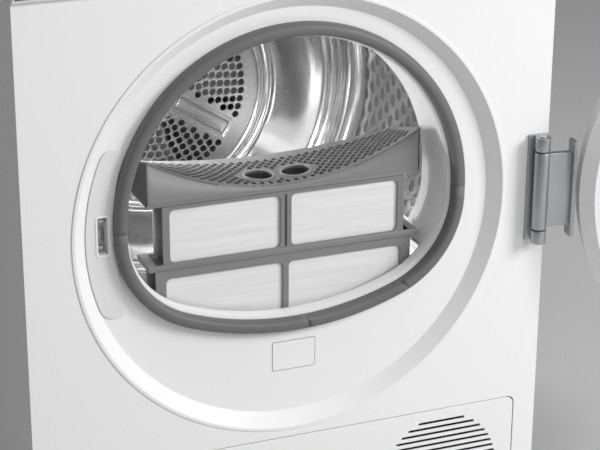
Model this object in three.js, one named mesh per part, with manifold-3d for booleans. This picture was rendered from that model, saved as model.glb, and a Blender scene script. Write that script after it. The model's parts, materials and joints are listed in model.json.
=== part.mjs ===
// A front-loading heat-pump clothes dryer, in millimetres: +X right, +Y into the machine, +Z up.
// The origin is the centre of the base tray's underside. The feet reach below it, to the floor.
import * as THREE from "three";
import { mergeVertices } from "three/addons/utils/BufferGeometryUtils.js";
import Module from "manifold-3d";

const wasm = await Module();
wasm.setup();

// ---------- Driving dimensions ----------
const WIDTH = 598, DEPTH = 590, HEIGHT = 830; // cabinet, without feet, door and knob
const SHEET = 1.5; // steel panels
const GAP = 0.4; // between pieces that touch
const ROUND = 56, ARC = 10; // facets round a large circle, and in each arc of an outline
const FRONT = -DEPTH / 2, BACK = DEPTH / 2;

const FOOT_DROP = 12, FOOT_R = 22, FOOT_INSET = 48, STUD_R = 5, STUD_REACH = 14, NUT_R = 10;
const TRAY_WALL = 4, TRAY_HEIGHT = 62, TRAY_SETBACK = 12, PAN_DROP = 8;
const TOP_THICK = 18;
const FASCIA_HEIGHT = 95, FASCIA_PROUD = 12, FASCIA_WALL = 3, FASCIA_DEPTH = 46;
const FASCIA_LOW = HEIGHT - TOP_THICK - GAP - FASCIA_HEIGHT;

const RING_Z = 451, RING_R = 245; // the round recess that the door closes into
const RECESS_DEPTH = 13, RECESS_FLOOR_R = 230.6, RECESS_WALL = 2;
const OPENING = { half: 200.5, top: 214.5, bottom: -131, bottomR: 346, cornerR: 119 }; // gasket outline
const GASKET_WIDTH = 14, GASKET_PROUD = 13, RIM_LIP = 3; // the recess shows as a lip inside the gasket
const COLLAR_WALL = 2.5, COLLAR_END = 80;

const DRUM_R = 285, DRUM_WALL = 1.6, DRUM_FRONT = COLLAR_END + 9, DRUM_BACK = 490;
const DRUM_MOUTH_R = 226, SHELL_END = 8;
const SEAL_FRONT = COLLAR_END + SHEET + 2 * GAP;
const LIFTER_HEIGHT = 46, LIFTER_WIDTH = 62, LIFTERS = 3, LIFTER_TURN = -0.158; // share of a turn
const SHAFT_R = 12, BUSH_WALL = 6, BUSH_CLEAR = 0.3, BEARING_LENGTH = 30;
const BEARING_FRONT = DRUM_BACK + 4, BEARING_BACK = BEARING_FRONT + BEARING_LENGTH;
const HUB = { r: 40, thick: 3.5 }; // the shaft's flange on the drum's back
const PULLEY_R = 10, IDLER_R = 22, BELT_DEPTH = 290, BELT_WIDTH = 12, BELT_THICK = 2;
const MOTOR = { x: 150, z: 100, r: 52, length: 120, shaft: 6, shaftEnd: 44 };
const MOTOR_FRONT = BELT_DEPTH + BELT_WIDTH + 8;
const FAN = { r: 56, length: 30, disc: 2.5, hub: 16, blades: 12, blade: 26, bladeThick: 2, lean: 6 };
const IDLER = { x: 60, z: 138, pin: 4, flange: 3, arm: 10, thick: 4, foot: 26 };
const GROOVE = 0.4; // how far a pulley's groove stands out from its nominal radius

const FILTER_RAISE = 141; // how far the lint filter stands above its seat
const FILTER_FRONT = 32, FILTER_BACK = 110, CAP_HALF = 157, CAP_BACK_LIFT = 8, CAP_WALL = 2.2;
const CAP_CLEAR = 5; // between the seated cap's arc and the gasket
const ARC_RISE = 46, BACK_RISE = 14; // how much higher the cap's ends stand, front and back
const FINGER = { x: 21, d: 27, r: 13, wide: 1.1, deep: 0.8 };
const GRILLE = { pitch: 24, half: 8, first: 2, last: 5, front: 12, back: 14 };
const FRAME = { upHalf: 140, lowHalf: 149, bar: 13, lowBar: 7, side: 8, sideLow: 12, corner: 4 };
const FRAME_THICK = 3, BODY_DEPTH = 36, BODY_WALL = 2, LEDGE_HEIGHT = 7, UPPER_HEIGHT = 66, LOWER_HEIGHT = 84;
const MESH_THICK = 0.8, MESH_LAP = 3;

const FLAP_HALF = WIDTH / 2 - 28, FLAP_TOP = 193, FLAP_BOTTOM = 27, FLAP_THICK = 3, FLAP_R = 9;
const FLAP_GAP = 1.2, FLAP_PROUD = 0.3;
const FLAP_LOW_R = 5; // the lower corners of the flap's hole leave it room to turn
const VENT = { x: 179.5, z: 113, r: 71, pitch: 7.2, slot: 3.4 };

const DOOR_R = 243, DOOR_PROUD = 34, WINDOW_R = 158, DOOR_OPEN_DEG = 172;
const RIM_INNER = 217, RIM_TIP = 9; // the door's rim reaches into the recess outside the gasket
const LINER = { face: -0.6, wall: 2.5, clear: 5, tip: 24 };
const HINGE = { x: 285, proud: 14, pinR: 4, half: 62, knuckle: 8.5, ear: 15, clear: 0.35, gap: 1 };
const HOOK = { x: -211.5, z: 7, width: 5, height: 22, reach: 26 };
const LATCH_HOLE = { width: 11, height: 41 };

const CONTROL_Z = FASCIA_LOW + 47.4; // the line that the controls stand on
const KNOB = { x: 6, z: CONTROL_Z, r: 27, proud: 24, hole: 8, stem: 7 };
const BUTTON = { travel: 2.5, clear: 0.8 };
const START = { x: WIDTH / 2 - 37, z: CONTROL_Z, half: 15 };
const POWER = { x: -62, z: CONTROL_Z, half: 11 };
const DISPLAY = { x: 145, z: CONTROL_Z, halfWidth: 82, halfHeight: 26 };
const BOARD = { left: 66, right: 226, depth: 22, thick: 3 };
const TANK = { left: -WIDTH / 2 + 12, width: 178, low: FASCIA_LOW + 10.4, height: FASCIA_HEIGHT - 21,
  length: 430, wall: 2.5, front: 2 };
const POCKET = { r: 15, width: 110, flatten: 0.62, raise: 6 }; // finger pocket of the tank's front

const HEAT = { left: -WIDTH / 2 + 63, right: -20, low: PAN_DROP + TRAY_WALL + GAP, high: 158, front: 44,
  thick: 100, gap: 24, fins: 14, end: 8 };
const COMPRESSOR = { x: 176, d: 178, r: 62, high: 148 };
const PIPE_R = 4;
const PUMP = { x: 60, d: 60, half: 30, deep: 26, sump: 30, headR: 20, headHigh: 44, spoutR: 6 };
const GLAND = { x: -WIDTH / 2 + 69, z: 96, r: 11, collar: 5 };
const REAR_COVER = { r: 236, wall: 1.5, proud: 9, chamfer: 14, slope: 20 };

// ---------- Small helpers ----------
const depth = (d) => FRONT + d; // a distance behind the cabinet's front face

function solid(geometry) {
  const bare = geometry.index ? geometry.toNonIndexed() : geometry.clone();
  for (const name of Object.keys(bare.attributes)) {
    if (name !== "position") bare.deleteAttribute(name);
  }
  const merged = mergeVertices(bare, 1e-3);
  return new wasm.Manifold(
    new wasm.Mesh({
      numProp: 3,
      vertProperties: merged.attributes.position.array,
      triVerts: new Uint32Array(merged.index.array),
    }),
  );
}

function geometryOf(manifold) {
  const mesh = manifold.getMesh();
  const geometry = new THREE.BufferGeometry();
  geometry.setAttribute("position", new THREE.BufferAttribute(mesh.vertProperties, 3));
  geometry.setIndex(new THREE.BufferAttribute(mesh.triVerts, 1));
  return geometry;
}

const join = (...parts) => geometryOf(parts.map(solid).reduce((a, b) => a.add(b)));
const cut = (body, ...tools) => geometryOf(tools.map(solid).reduce((a, b) => a.subtract(b), solid(body)));
const shared = (a, b) => geometryOf(solid(a).intersect(solid(b)));

// A box between two corners.
function box(x0, x1, y0, y1, z0, z1) {
  return new THREE.BoxGeometry(x1 - x0, y1 - y0, z1 - z0).translate(
    (x0 + x1) / 2, (y0 + y1) / 2, (z0 + z1) / 2);
}

// A flat outline in X and Z, made solid from depth d0 to d1.
function slab(shape, d0, d1, curveSegments = 12) {
  return new THREE.ExtrudeGeometry(shape, { depth: d1 - d0, bevelEnabled: false, curveSegments })
    .rotateX(Math.PI / 2).translate(0, depth(d1), 0);
}

// A profile of [radius, depth] points turned about an axis along Y through (x, z).
function turned(profile, segments, x = 0, z = RING_Z) {
  const points = profile.map(([r, d]) => new THREE.Vector2(r, d));
  if (THREE.ShapeUtils.isClockWise(points)) points.reverse();
  return new THREE.LatheGeometry(points, segments).translate(x, FRONT, z);
}

function rod(r, d0, d1, x, z, segments = 24) {
  return new THREE.CylinderGeometry(r, r, d1 - d0, segments).translate(x, depth((d0 + d1) / 2), z);
}

// A cylinder standing upright about the origin.
const upright = (r, length, segments) =>
  new THREE.CylinderGeometry(r, r, length, segments).rotateX(Math.PI / 2);

function plainRect(x0, x1, z0, z1) {
  return new THREE.Shape([[x0, z0], [x1, z0], [x1, z1], [x0, z1]].map(([x, z]) => new THREE.Vector2(x, z)));
}

function roundedRect(x0, x1, z0, z1, r, lowR = r) {
  const s = new THREE.Shape();
  s.moveTo(x0 + lowR, z0);
  s.lineTo(x1 - lowR, z0);
  s.absarc(x1 - lowR, z0 + lowR, lowR, -Math.PI / 2, 0);
  s.lineTo(x1, z1 - r);
  s.absarc(x1 - r, z1 - r, r, 0, Math.PI / 2);
  s.lineTo(x0 + r, z1);
  s.absarc(x0 + r, z1 - r, r, Math.PI / 2, Math.PI);
  s.lineTo(x0, z0 + lowR);
  s.absarc(x0 + lowR, z0 + lowR, lowR, Math.PI, 1.5 * Math.PI);
  return s;
}

// The loading opening: round above, a shallow arc below, joined by corner arcs. inset moves it inwards.
function openingOutline(inset, Kind = THREE.Shape) {
  const { half, top, bottom, bottomR, cornerR } = OPENING;
  const topZ = RING_Z + top - half;
  const lowZ = RING_Z + bottom + bottomR;
  const cornerX = half - cornerR;
  const cornerZ = lowZ - Math.sqrt((bottomR - cornerR) ** 2 - cornerX ** 2);
  const meet = Math.atan2(cornerZ - lowZ, cornerX);
  const path = new Kind();
  path.absarc(0, topZ, half - inset, 0, Math.PI);
  path.absarc(-cornerX, cornerZ, cornerR - inset, Math.PI, -Math.PI - meet);
  path.absarc(0, lowZ, bottomR - inset, -Math.PI - meet, meet);
  path.absarc(cornerX, cornerZ, cornerR - inset, meet, 0);
  path.closePath();
  return path;
}

function ringShape(outer, inner) {
  outer.holes.push(inner);
  return outer;
}

function circle(r, x = 0, z = RING_Z, Kind = THREE.Shape) {
  const path = new Kind();
  path.absarc(x, z, r, 0, 2 * Math.PI);
  return path;
}

// ---------- Materials ----------
const paint = (color, roughness = 0.35, metalness = 0) =>
  new THREE.MeshStandardMaterial({ color, roughness, metalness });
const finish = {
  enamel: paint(0xf2f2f2),
  plastic: paint(0xeeeeee, 0.45),
  latch: paint(0xcfcfcf, 0.5),
  rubber: paint(0x6b6b6b, 0.8),
  collar: paint(0x9e9e9e, 0.5),
  filter: paint(0x7c7c7c, 0.55),
  mesh: paint(0xe8e8e8, 0.7),
  steel: paint(0xc4c4c4, 0.22, 1),
  zinc: paint(0xb0b0b0, 0.5, 1),
  aluminium: paint(0xbcbcbc, 0.4, 1),
  black: paint(0x2a2a2a, 0.4),
  dark: paint(0x444444, 0.6),
  felt: paint(0x8a8a84, 0.95),
  copper: paint(0xb06a45, 0.35, 1),
  glass: paint(0x3a3d40, 0.08),
  board: paint(0x2f6b45, 0.6),
};

const machine = new THREE.Group();

function add(name, geometry, material, parent = machine) {
  const mesh = new THREE.Mesh(geometry, material);
  mesh.name = name;
  parent.add(mesh);
  return mesh;
}

// ---------- Base, feet and cabinet panels ----------
const footPlaces = [[-1, -1], [1, -1], [-1, 1], [1, 1]].map(([sx, sy]) =>
  [sx * (WIDTH / 2 - FOOT_INSET), sy * (DEPTH / 2 - FOOT_INSET)]);

function baseTray() {
  const half = WIDTH / 2 - SHEET - GAP;
  const y0 = depth(TRAY_SETBACK), y1 = BACK - SHEET - GAP;
  const outer = box(-half, half, y0, y1, PAN_DROP, TRAY_HEIGHT);
  const hollow = box(-half + TRAY_WALL, half - TRAY_WALL, y0 + TRAY_WALL, y1 - TRAY_WALL,
    PAN_DROP + TRAY_WALL, TRAY_HEIGHT + 1);
  const panHalf = half - 2 * FOOT_INSET, panY = DEPTH / 2 - 2 * FOOT_INSET;
  const pan = box(-panHalf, panHalf, -panY, panY, 0, PAN_DROP + TRAY_WALL);
  const holes = footPlaces.map(([x, y]) => upright(STUD_R + 2 * GAP, 40, 16).translate(x, y, PAN_DROP));
  return cut(join(cut(outer, hollow), pan), ...holes);
}

// A round pad on a threaded stud, with its lock nut under the tray.
function foot([x, y]) {
  const pad = -FOOT_DROP + 5, nut = PAN_DROP - GAP - 1;
  const high = PAN_DROP + TRAY_WALL + STUD_REACH;
  const profile = [[0, -FOOT_DROP], [FOOT_R, -FOOT_DROP], [FOOT_R, pad], [NUT_R, pad + 3], [NUT_R, nut],
    [STUD_R, nut], [STUD_R, high], [0, high]];
  return new THREE.LatheGeometry(profile.map(([r, z]) => new THREE.Vector2(r, z)), 20).rotateX(Math.PI / 2)
    .translate(x, y, 0);
}

// A side sheet, notched at its top front corner for the control panel.
function sidePanel(side) {
  const outer = side * WIDTH / 2, inner = side * (WIDTH / 2 - SHEET), high = HEIGHT - TOP_THICK - GAP;
  const sheet = box(Math.min(outer, inner), Math.max(outer, inner), depth(SHEET + GAP), BACK - SHEET - GAP,
    PAN_DROP, high);
  const notch = box(-WIDTH, WIDTH, depth(-10), depth(FASCIA_DEPTH + GAP), FASCIA_LOW - GAP, high + 10);
  return cut(sheet, notch);
}

function rearPanel() {
  const sheet = box(-WIDTH / 2, WIDTH / 2, BACK - SHEET, BACK, PAN_DROP, HEIGHT - TOP_THICK - GAP);
  const hole = rod(REAR_COVER.r + 2, DEPTH - 10, DEPTH + 10, 0, RING_Z, ROUND * 0.75);
  const gland = rod(GLAND.r + GAP, DEPTH - 10, DEPTH + 10, GLAND.x, GLAND.z, 20);
  return cut(sheet, hole, gland);
}

function frontPanel() {
  const s = plainRect(-WIDTH / 2, WIDTH / 2, PAN_DROP, HEIGHT - TOP_THICK - FASCIA_HEIGHT - 2 * GAP);
  s.holes.push(circle(RING_R + GAP, 0, RING_Z, THREE.Path));
  const flap = roundedRect(-FLAP_HALF - FLAP_GAP, FLAP_HALF + FLAP_GAP, FLAP_BOTTOM - FLAP_GAP,
    FLAP_TOP + FLAP_GAP, FLAP_R, FLAP_LOW_R);
  s.holes.push(new THREE.Path(flap.getPoints(5)));
  return slab(s, 0, SHEET, ROUND / 2);
}

function topPanel() {
  const r = 4, proud = FASCIA_PROUD;
  const s = roundedRect(-WIDTH / 2 + r, WIDTH / 2 - r, FRONT - proud + r, BACK - r, r);
  return new THREE.ExtrudeGeometry(s, { depth: TOP_THICK - 2 * r, bevelThickness: r, bevelSize: r,
    bevelSegments: 3, curveSegments: 3 }).translate(0, 0, HEIGHT - TOP_THICK + r);
}

// ---------- Door recess, gasket, collar and latch ----------
function latchHole(d0, d1, grow = 0) {
  return box(HOOK.x - LATCH_HOLE.width / 2 - grow, HOOK.x + LATCH_HOLE.width / 2 + grow, depth(d0), depth(d1),
    RING_Z + HOOK.z - LATCH_HOLE.height / 2 - grow, RING_Z + HOOK.z + LATCH_HOLE.height / 2 + grow);
}

function doorRecess() {
  const lip = 1.2, floor = RECESS_DEPTH, back = RECESS_DEPTH + RECESS_WALL;
  const bevel = turned([[RECESS_FLOOR_R - 6, floor], [RECESS_FLOOR_R, floor], [RING_R - 0.6, -lip],
    [RING_R + 3, -lip], [RING_R + 3, -GAP], [RING_R, -GAP], [RECESS_FLOOR_R + 2, back],
    [RECESS_FLOOR_R - 6, back], [RECESS_FLOOR_R - 6, floor]], ROUND);
  const disc = ringShape(circle(RECESS_FLOOR_R - 1), openingOutline(GASKET_WIDTH + RIM_LIP, THREE.Path));
  const plate = slab(disc, floor, back, ARC);
  return cut(join(bevel, plate), latchHole(floor - 2, back + 2));
}

// The gasket's foot stands on the recess floor and its lip faces the door.
function doorGasket() {
  const floor = RECESS_DEPTH - GAP;
  const r = 4;
  const s = ringShape(openingOutline(r), openingOutline(GASKET_WIDTH - r, THREE.Path));
  return new THREE.ExtrudeGeometry(s, { depth: GASKET_PROUD - 2 * r, bevelThickness: r, bevelSize: r,
    bevelSegments: 1, curveSegments: 9 }).rotateX(Math.PI / 2).translate(0, depth(floor - r), 0);
}

function filterSlot(grow, d0, d1, z0, z1) {
  return box(-CAP_HALF - grow, CAP_HALF + grow, depth(d0), depth(d1), z0, z1);
}

function openingCollar() {
  const inset = GASKET_WIDTH + RIM_LIP - COLLAR_WALL;
  const s = ringShape(openingOutline(inset), openingOutline(inset + COLLAR_WALL, THREE.Path));
  const tube = slab(s, RECESS_DEPTH + RECESS_WALL + GAP, COLLAR_END, ARC);
  return cut(tube, filterSlot(3, FILTER_FRONT - 3, FILTER_BACK + 10, RING_Z - 200, RING_Z - 40));
}

function latchPlate() {
  const rim = RECESS_FLOOR_R - 2, low = RING_Z - 86, high = RING_Z + 99;
  const shape = ringShape(circle(rim), openingOutline(-2.5, THREE.Path));
  const band = slab(shape, RECESS_DEPTH - 1.8, RECESS_DEPTH - GAP, ARC);
  const ends = roundedRect(-rim - 5, -OPENING.half + 14, low, high, 9);
  const window = slab(ends, RECESS_DEPTH - 4, RECESS_DEPTH + 4, 4);
  return cut(shared(band, window), latchHole(RECESS_DEPTH - 4, RECESS_DEPTH + 4, -0.5));
}

// Pocket behind the hole: a cup that holds the strike for the door's hook.
function latchCup() {
  const d0 = RECESS_DEPTH + RECESS_WALL + GAP, d1 = d0 + 20, wall = 2, room = 1;
  const outer = latchHole(d0, d1, wall + room);
  return cut(outer, latchHole(d0 - 5, d1 - wall, room));
}

// ---------- Drum opening, ducts and drum ----------
function frontBulkhead() {
  const hole = circle(DRUM_MOUTH_R - 6, 0, RING_Z, THREE.Path);
  const half = WIDTH / 2 - SHEET - GAP;
  const s = plainRect(-half, half, HEAT.high + 4, TANK.low - 5);
  s.holes.push(hole);
  return slab(s, COLLAR_END + GAP, COLLAR_END + GAP + SHEET, ROUND / 2);
}

// A profile of the four corners of a plain ring.
const ringProfile = (r0, r1, d0, d1) => [[r0, d0], [r1, d0], [r1, d1], [r0, d1], [r0, d0]];

const drumSeal = () =>
  turned(ringProfile(DRUM_MOUTH_R - 5, DRUM_MOUTH_R + 16, SEAL_FRONT, DRUM_FRONT - GAP), ROUND);

function filterDuct() {
  const wall = 2.5, clear = 2.6;
  const high = RING_Z + OPENING.bottom + GASKET_WIDTH - 60, low = 168;
  const s = (grow) => filterSlot(grow, FILTER_FRONT - grow, COLLAR_END - wall + grow - clear, low, high);
  return cut(s(clear + wall), box(-CAP_HALF - clear, CAP_HALF + clear, depth(FILTER_FRONT - clear),
    depth(COLLAR_END - wall), low - 5, high + 5));
}

function drumShell() {
  const out = DRUM_R + DRUM_WALL, w = DRUM_WALL;
  const end = DRUM_BACK - SHELL_END;
  return turned([[DRUM_MOUTH_R, DRUM_FRONT], [out, DRUM_FRONT], [out, end], [DRUM_R, end],
    [DRUM_R, DRUM_FRONT + w], [DRUM_MOUTH_R, DRUM_FRONT + w], [DRUM_MOUTH_R, DRUM_FRONT]], ROUND);
}

// The drum's back: flat middle, raised rings, and a rim that closes the shell.
function drumRearWall() {
  const b = DRUM_BACK, t = 2;
  const front = [[0, b - 6], [138, b - 6], [145, b - 10], [154, b - 3], [DRUM_R - 57, b - 8],
    [DRUM_R - 46, b - 13], [DRUM_R - 35, b - 6], [DRUM_R - GAP, b - 7]];
  const back = front.map(([r, d]) => [r, d + t]).reverse();
  return turned([...front, ...back], ROUND);
}

function lifter(index) {
  const d0 = DRUM_FRONT + 34, d1 = DRUM_BACK - 24;
  const foot = LIFTER_WIDTH / 2, head = LIFTER_WIDTH / 5, r0 = Math.sqrt(DRUM_R ** 2 - foot ** 2) - 0.6;
  const s = new THREE.Shape();
  s.moveTo(-foot, -r0);
  s.lineTo(-head, -DRUM_R + LIFTER_HEIGHT - 4);
  s.quadraticCurveTo(0, -DRUM_R + LIFTER_HEIGHT + 4, head, -DRUM_R + LIFTER_HEIGHT - 4);
  s.lineTo(foot, -r0);
  s.closePath();
  return slab(s, d0, d1, 4).rotateY(2 * Math.PI * (index / LIFTERS + LIFTER_TURN)).translate(0, 0, RING_Z);
}

function drumShaft() {
  const front = DRUM_BACK - HUB.thick, end = BEARING_BACK + 4;
  return turned([[0, front], [HUB.r, front], [HUB.r, DRUM_BACK], [SHAFT_R, DRUM_BACK + 3], [SHAFT_R, end],
    [0, end]], 32);
}

const bearingBush = () =>
  turned(ringProfile(SHAFT_R + BUSH_CLEAR, SHAFT_R + BUSH_WALL, BEARING_FRONT, BEARING_BACK), 32);

// The fixed rear shield carries the bearing and lets the hot air in through four windows.
function rearBulkhead() {
  const d0 = DRUM_BACK + 8, d1 = d0 + SHEET;
  const half = WIDTH / 2 - SHEET - GAP;
  const s = plainRect(-half, half, TRAY_HEIGHT + GAP, HEIGHT - TOP_THICK - GAP);
  s.holes.push(new THREE.Path(circle(SHAFT_R + BUSH_WALL + 2 * GAP).getPoints(16)));
  for (let k = 0; k < 4; k += 1) {
    const a = Math.PI / 4 + (k * Math.PI) / 2, spread = 0.55;
    const w = new THREE.Path();
    w.absarc(0, RING_Z, 118, a - spread, a + spread, false);
    w.absarc(0, RING_Z, 48, a + spread, a - spread, true);
    w.closePath();
    s.holes.push(w);
  }
  return slab(s, d0, d1, 5);
}

function rearDuctCover() {
  const { r, wall, proud, chamfer, slope } = REAR_COVER;
  const d0 = DRUM_BACK + 8 + SHEET + GAP, d1 = DEPTH + proud, inner = r - wall;
  return turned([[inner, d0], [r, d0], [r, d1 - chamfer], [r - slope, d1], [0, d1], [0, d1 - wall],
    [inner - slope + 2, d1 - wall], [inner, d1 - chamfer - wall], [inner, d0]], ROUND * 0.75);
}

// ---------- Drive ----------
const beltLine = { drum: { x: 0, z: RING_Z, r: DRUM_R + DRUM_WALL }, idler: { ...IDLER, r: IDLER_R },
  motor: { x: MOTOR.x, z: MOTOR.z, r: PULLEY_R } };

// The tight outline round several circles, each grown by the same amount.
function wrap(circles, grow) {
  const points = [];
  for (const c of circles) {
    const steps = c.r > 100 ? ROUND : 20;
    for (let k = 0; k < steps; k += 1) {
      const a = (2 * Math.PI * k) / steps;
      points.push(new THREE.Vector2(c.x + (c.r + grow) * Math.cos(a), c.z + (c.r + grow) * Math.sin(a)));
    }
  }
  points.sort((p, q) => p.x - q.x || p.y - q.y);
  const turn = (o, a, b) => (a.x - o.x) * (b.y - o.y) - (a.y - o.y) * (b.x - o.x);
  const half = (list) => list.reduce((hull, p) => {
    while (hull.length > 1 && turn(hull.at(-2), hull.at(-1), p) <= 0) hull.pop();
    hull.push(p);
    return hull;
  }, []);
  const low = half(points), high = half([...points].reverse());
  return [...low.slice(0, -1), ...high.slice(0, -1)];
}

function drumBelt() {
  const rounds = Object.values(beltLine);
  const s = new THREE.Shape(wrap(rounds, BELT_THICK + 1));
  s.holes.push(new THREE.Path(wrap(rounds, 1)));
  return slab(s, BELT_DEPTH, BELT_DEPTH + BELT_WIDTH);
}

function motor() {
  const { x, z, r, length, shaft } = MOTOR;
  const d0 = MOTOR_FRONT, d1 = d0 + length;
  const body = rod(r, d0, d1, x, z, 28);
  const cradle = box(x - r * 0.8, x + r * 0.8, depth(d0 + 16), depth(d1 - 16), PAN_DROP + TRAY_WALL + GAP, z);
  return cut(join(body, cradle), rod(shaft + GAP, d0 - 5, d1 + 5, x, z, 16));
}

function motorPulley() {
  const { x, z, length, shaft, shaftEnd } = MOTOR;
  const d0 = BELT_DEPTH - 3, end = d0 + BELT_WIDTH + 6, d1 = MOTOR_FRONT + length + shaftEnd;
  const rim = PULLEY_R + 4, groove = PULLEY_R + GROOVE;
  return turned([[0, d0], [rim, d0], [rim, d0 + 2], [groove, d0 + 2.6], [groove, end - 2.6], [rim, end - 2],
    [rim, end], [shaft, end], [shaft, d1], [0, d1]], 20, x, z);
}

function fanWheel() {
  const { x, z, length, shaft } = MOTOR, { r, blade, bladeThick, lean } = FAN;
  const d0 = MOTOR_FRONT + length + 10, d1 = d0 + FAN.length;
  const disc = rod(r, d1 - FAN.disc, d1, x, z, 32);
  const hub = rod(FAN.hub, d0, d1, x, z, 16);
  const blades = [];
  for (let k = 0; k < FAN.blades; k += 1) {
    const flat = new THREE.BoxGeometry(blade, d1 - d0 - 1, bladeThick)
      .translate(r - blade / 2 - 1, depth((d0 + d1) / 2 - 0.5), lean);
    blades.push(flat.rotateY((2 * k * Math.PI) / FAN.blades).translate(x, 0, z));
  }
  return cut(join(disc, hub, ...blades), rod(shaft + GAP, d0 - 5, d1 + 5, x, z, 16));
}

function tensionPulley() {
  const { x, z, pin, flange } = IDLER;
  const d0 = BELT_DEPTH, d1 = BELT_DEPTH + BELT_WIDTH, rim = IDLER_R + flange, groove = IDLER_R + GROOVE;
  return turned([[pin + GAP, d0 - 3], [rim, d0 - 3], [groove, d0 - 1], [groove, d1 + 1], [rim, d1 + 3],
    [pin + GAP, d1 + 3], [pin + GAP, d0 - 3]], 24, x, z);
}

function tensionArm() {
  const { x, z, arm, thick } = IDLER;
  const d0 = BELT_DEPTH + BELT_WIDTH + 4, low = PAN_DROP + TRAY_WALL + GAP;
  const pin = rod(IDLER.pin, BELT_DEPTH - 5, d0 + thick, x, z, 16);
  const lever = box(x - arm, x + arm, depth(d0), depth(d0 + thick), low, z + arm);
  const foot = box(x - IDLER.foot, x + IDLER.foot, depth(d0), depth(d0 + 46), low, low + 5 - GAP);
  return join(pin, lever, foot);
}

// ---------- Heat pump ----------
// A block of parallel fins with end plates: wide slots stand for the many thin gaps.
function finBlock(x0, x1, d0, d1, z0, z1, fins) {
  const body = box(x0, x1, depth(d0), depth(d1), z0, z1);
  const pitch = (x1 - x0) / fins;
  const slots = Array.from({ length: fins - 1 }, (_, k) =>
    box(x0 + pitch * (k + 0.75), x0 + pitch * (k + 1.25), depth(d0 - 5), depth(d1 + 5),
      z0 + HEAT.end, z1 - HEAT.end));
  return cut(body, ...slots);
}

function heatExchanger(d0) {
  const { left, right, thick, low, high, fins } = HEAT;
  return finBlock(left, right, d0, d0 + thick, low, high, fins);
}

const evaporator = () => heatExchanger(HEAT.front);
const condenser = () => heatExchanger(HEAT.front + HEAT.thick + HEAT.gap);

function compressor() {
  const { x, d, r, high } = COMPRESSOR, low = PAN_DROP + TRAY_WALL + GAP;
  const profile = [[0, low], [r + 14, low], [r + 14, low + 4], [r, low + 8], [r, high - 26],
    [r - 10, high - 8], [r - 30, high], [0, high]].map(([a, b]) => new THREE.Vector2(a, b));
  return new THREE.LatheGeometry(profile, 32).rotateX(Math.PI / 2).translate(x, depth(d), 0);
}

class Route extends THREE.Curve {
  constructor(points) {
    super();
    this.line = new THREE.CatmullRomCurve3(points.map((p) => new THREE.Vector3(...p)), false, "centripetal");
  }
  getPoint(t) {
    return this.line.getPoint(t);
  }
}

function refrigerantPipe() {
  const { x, d, high } = COMPRESSOR, y = depth(d);
  const section = new THREE.Shape().absarc(0, 0, PIPE_R, 0, 2 * Math.PI);
  const top = high + 2 + PIPE_R, end = HEAT.right + PIPE_R + GAP + 1;
  const path = new Route([[x, y, high + GAP], [x, y, top], [x - 34, y, top + 6], [x - 90, y, top - 8],
    [end + 24, y, HEAT.high - 20], [end, y, HEAT.high - 26]]);
  return new THREE.ExtrudeGeometry(section,
    { extrudePath: path, steps: 24, curveSegments: 4, bevelEnabled: false });
}

function condensatePump() {
  const { x, d, half, deep, headR, headHigh, spoutR } = PUMP, low = PAN_DROP + TRAY_WALL + GAP;
  const sump = box(x - half, x + half, depth(d - deep), depth(d + deep), low, low + PUMP.sump);
  const head = upright(headR, headHigh, 20).translate(x, depth(d), low + PUMP.sump + headR);
  const spout = new THREE.CylinderGeometry(spoutR, spoutR, half, 12).rotateZ(Math.PI / 2)
    .translate(x + half, depth(d), low + PUMP.sump + deep);
  return join(sump, head, spout);
}

function mainsGland() {
  const { x, z, r, collar } = GLAND;
  return turned([[0, DEPTH - 12], [r, DEPTH - 12], [r, DEPTH + GAP], [r + collar, DEPTH + GAP],
    [r + collar, DEPTH + 4], [7, DEPTH + 6], [6, DEPTH + 8.8], [0, DEPTH + 8.8]], 20, x, z);
}

// ---------- Control panel, controls and condensate tank ----------
const TANK_FRONT = { x0: TANK.left - 4, x1: TANK.left + TANK.width + 4, z0: FASCIA_LOW + 9,
  z1: FASCIA_LOW + FASCIA_HEIGHT - 6, gap: 1.2 };

function controlPanel() {
  const half = WIDTH / 2, w = FASCIA_WALL, high = FASCIA_LOW + FASCIA_HEIGHT;
  const outer = box(-half, half, depth(-FASCIA_PROUD), depth(FASCIA_DEPTH), FASCIA_LOW, high);
  const hollow = box(-half + w, half - w, depth(-FASCIA_PROUD + w), depth(FASCIA_DEPTH + 5),
    FASCIA_LOW + w, high - w);
  const chin = new THREE.BoxGeometry(2 * half + 20, 30, 12).rotateX(0.5)
    .translate(0, depth(-FASCIA_PROUD - 8), FASCIA_LOW - 4.5);
  const { x0, x1, z0, z1, gap } = TANK_FRONT;
  const tankHole = box(x0 - gap, x1 + gap, depth(-40), depth(0), z0 - gap, z1 + gap);
  const knobHole = rod(KNOB.hole, -40, 10, KNOB.x, KNOB.z, 20);
  const holes = [START, POWER].map((b) => rod(b.half + BUTTON.clear, -40, 10, b.x, b.z, 24));
  const { x, z, halfWidth, halfHeight } = DISPLAY;
  const seat = box(x - halfWidth - GAP, x + halfWidth + GAP, depth(-40), depth(-FASCIA_PROUD + 1.6),
    z - halfHeight - GAP, z + halfHeight + GAP);
  return cut(outer, hollow, chin, tankHole, knobHole, ...holes, seat);
}

function displayWindow() {
  const { x, z, halfWidth, halfHeight } = DISPLAY;
  return box(x - halfWidth, x + halfWidth, depth(-FASCIA_PROUD - 0.2), depth(-FASCIA_PROUD + 1.2),
    z - halfHeight, z + halfHeight);
}

const controlBoard = () => box(BOARD.left, BOARD.right, depth(BOARD.depth), depth(BOARD.depth + BOARD.thick),
  FASCIA_LOW + FASCIA_WALL + GAP + 6, FASCIA_LOW + FASCIA_HEIGHT - 12);

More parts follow.
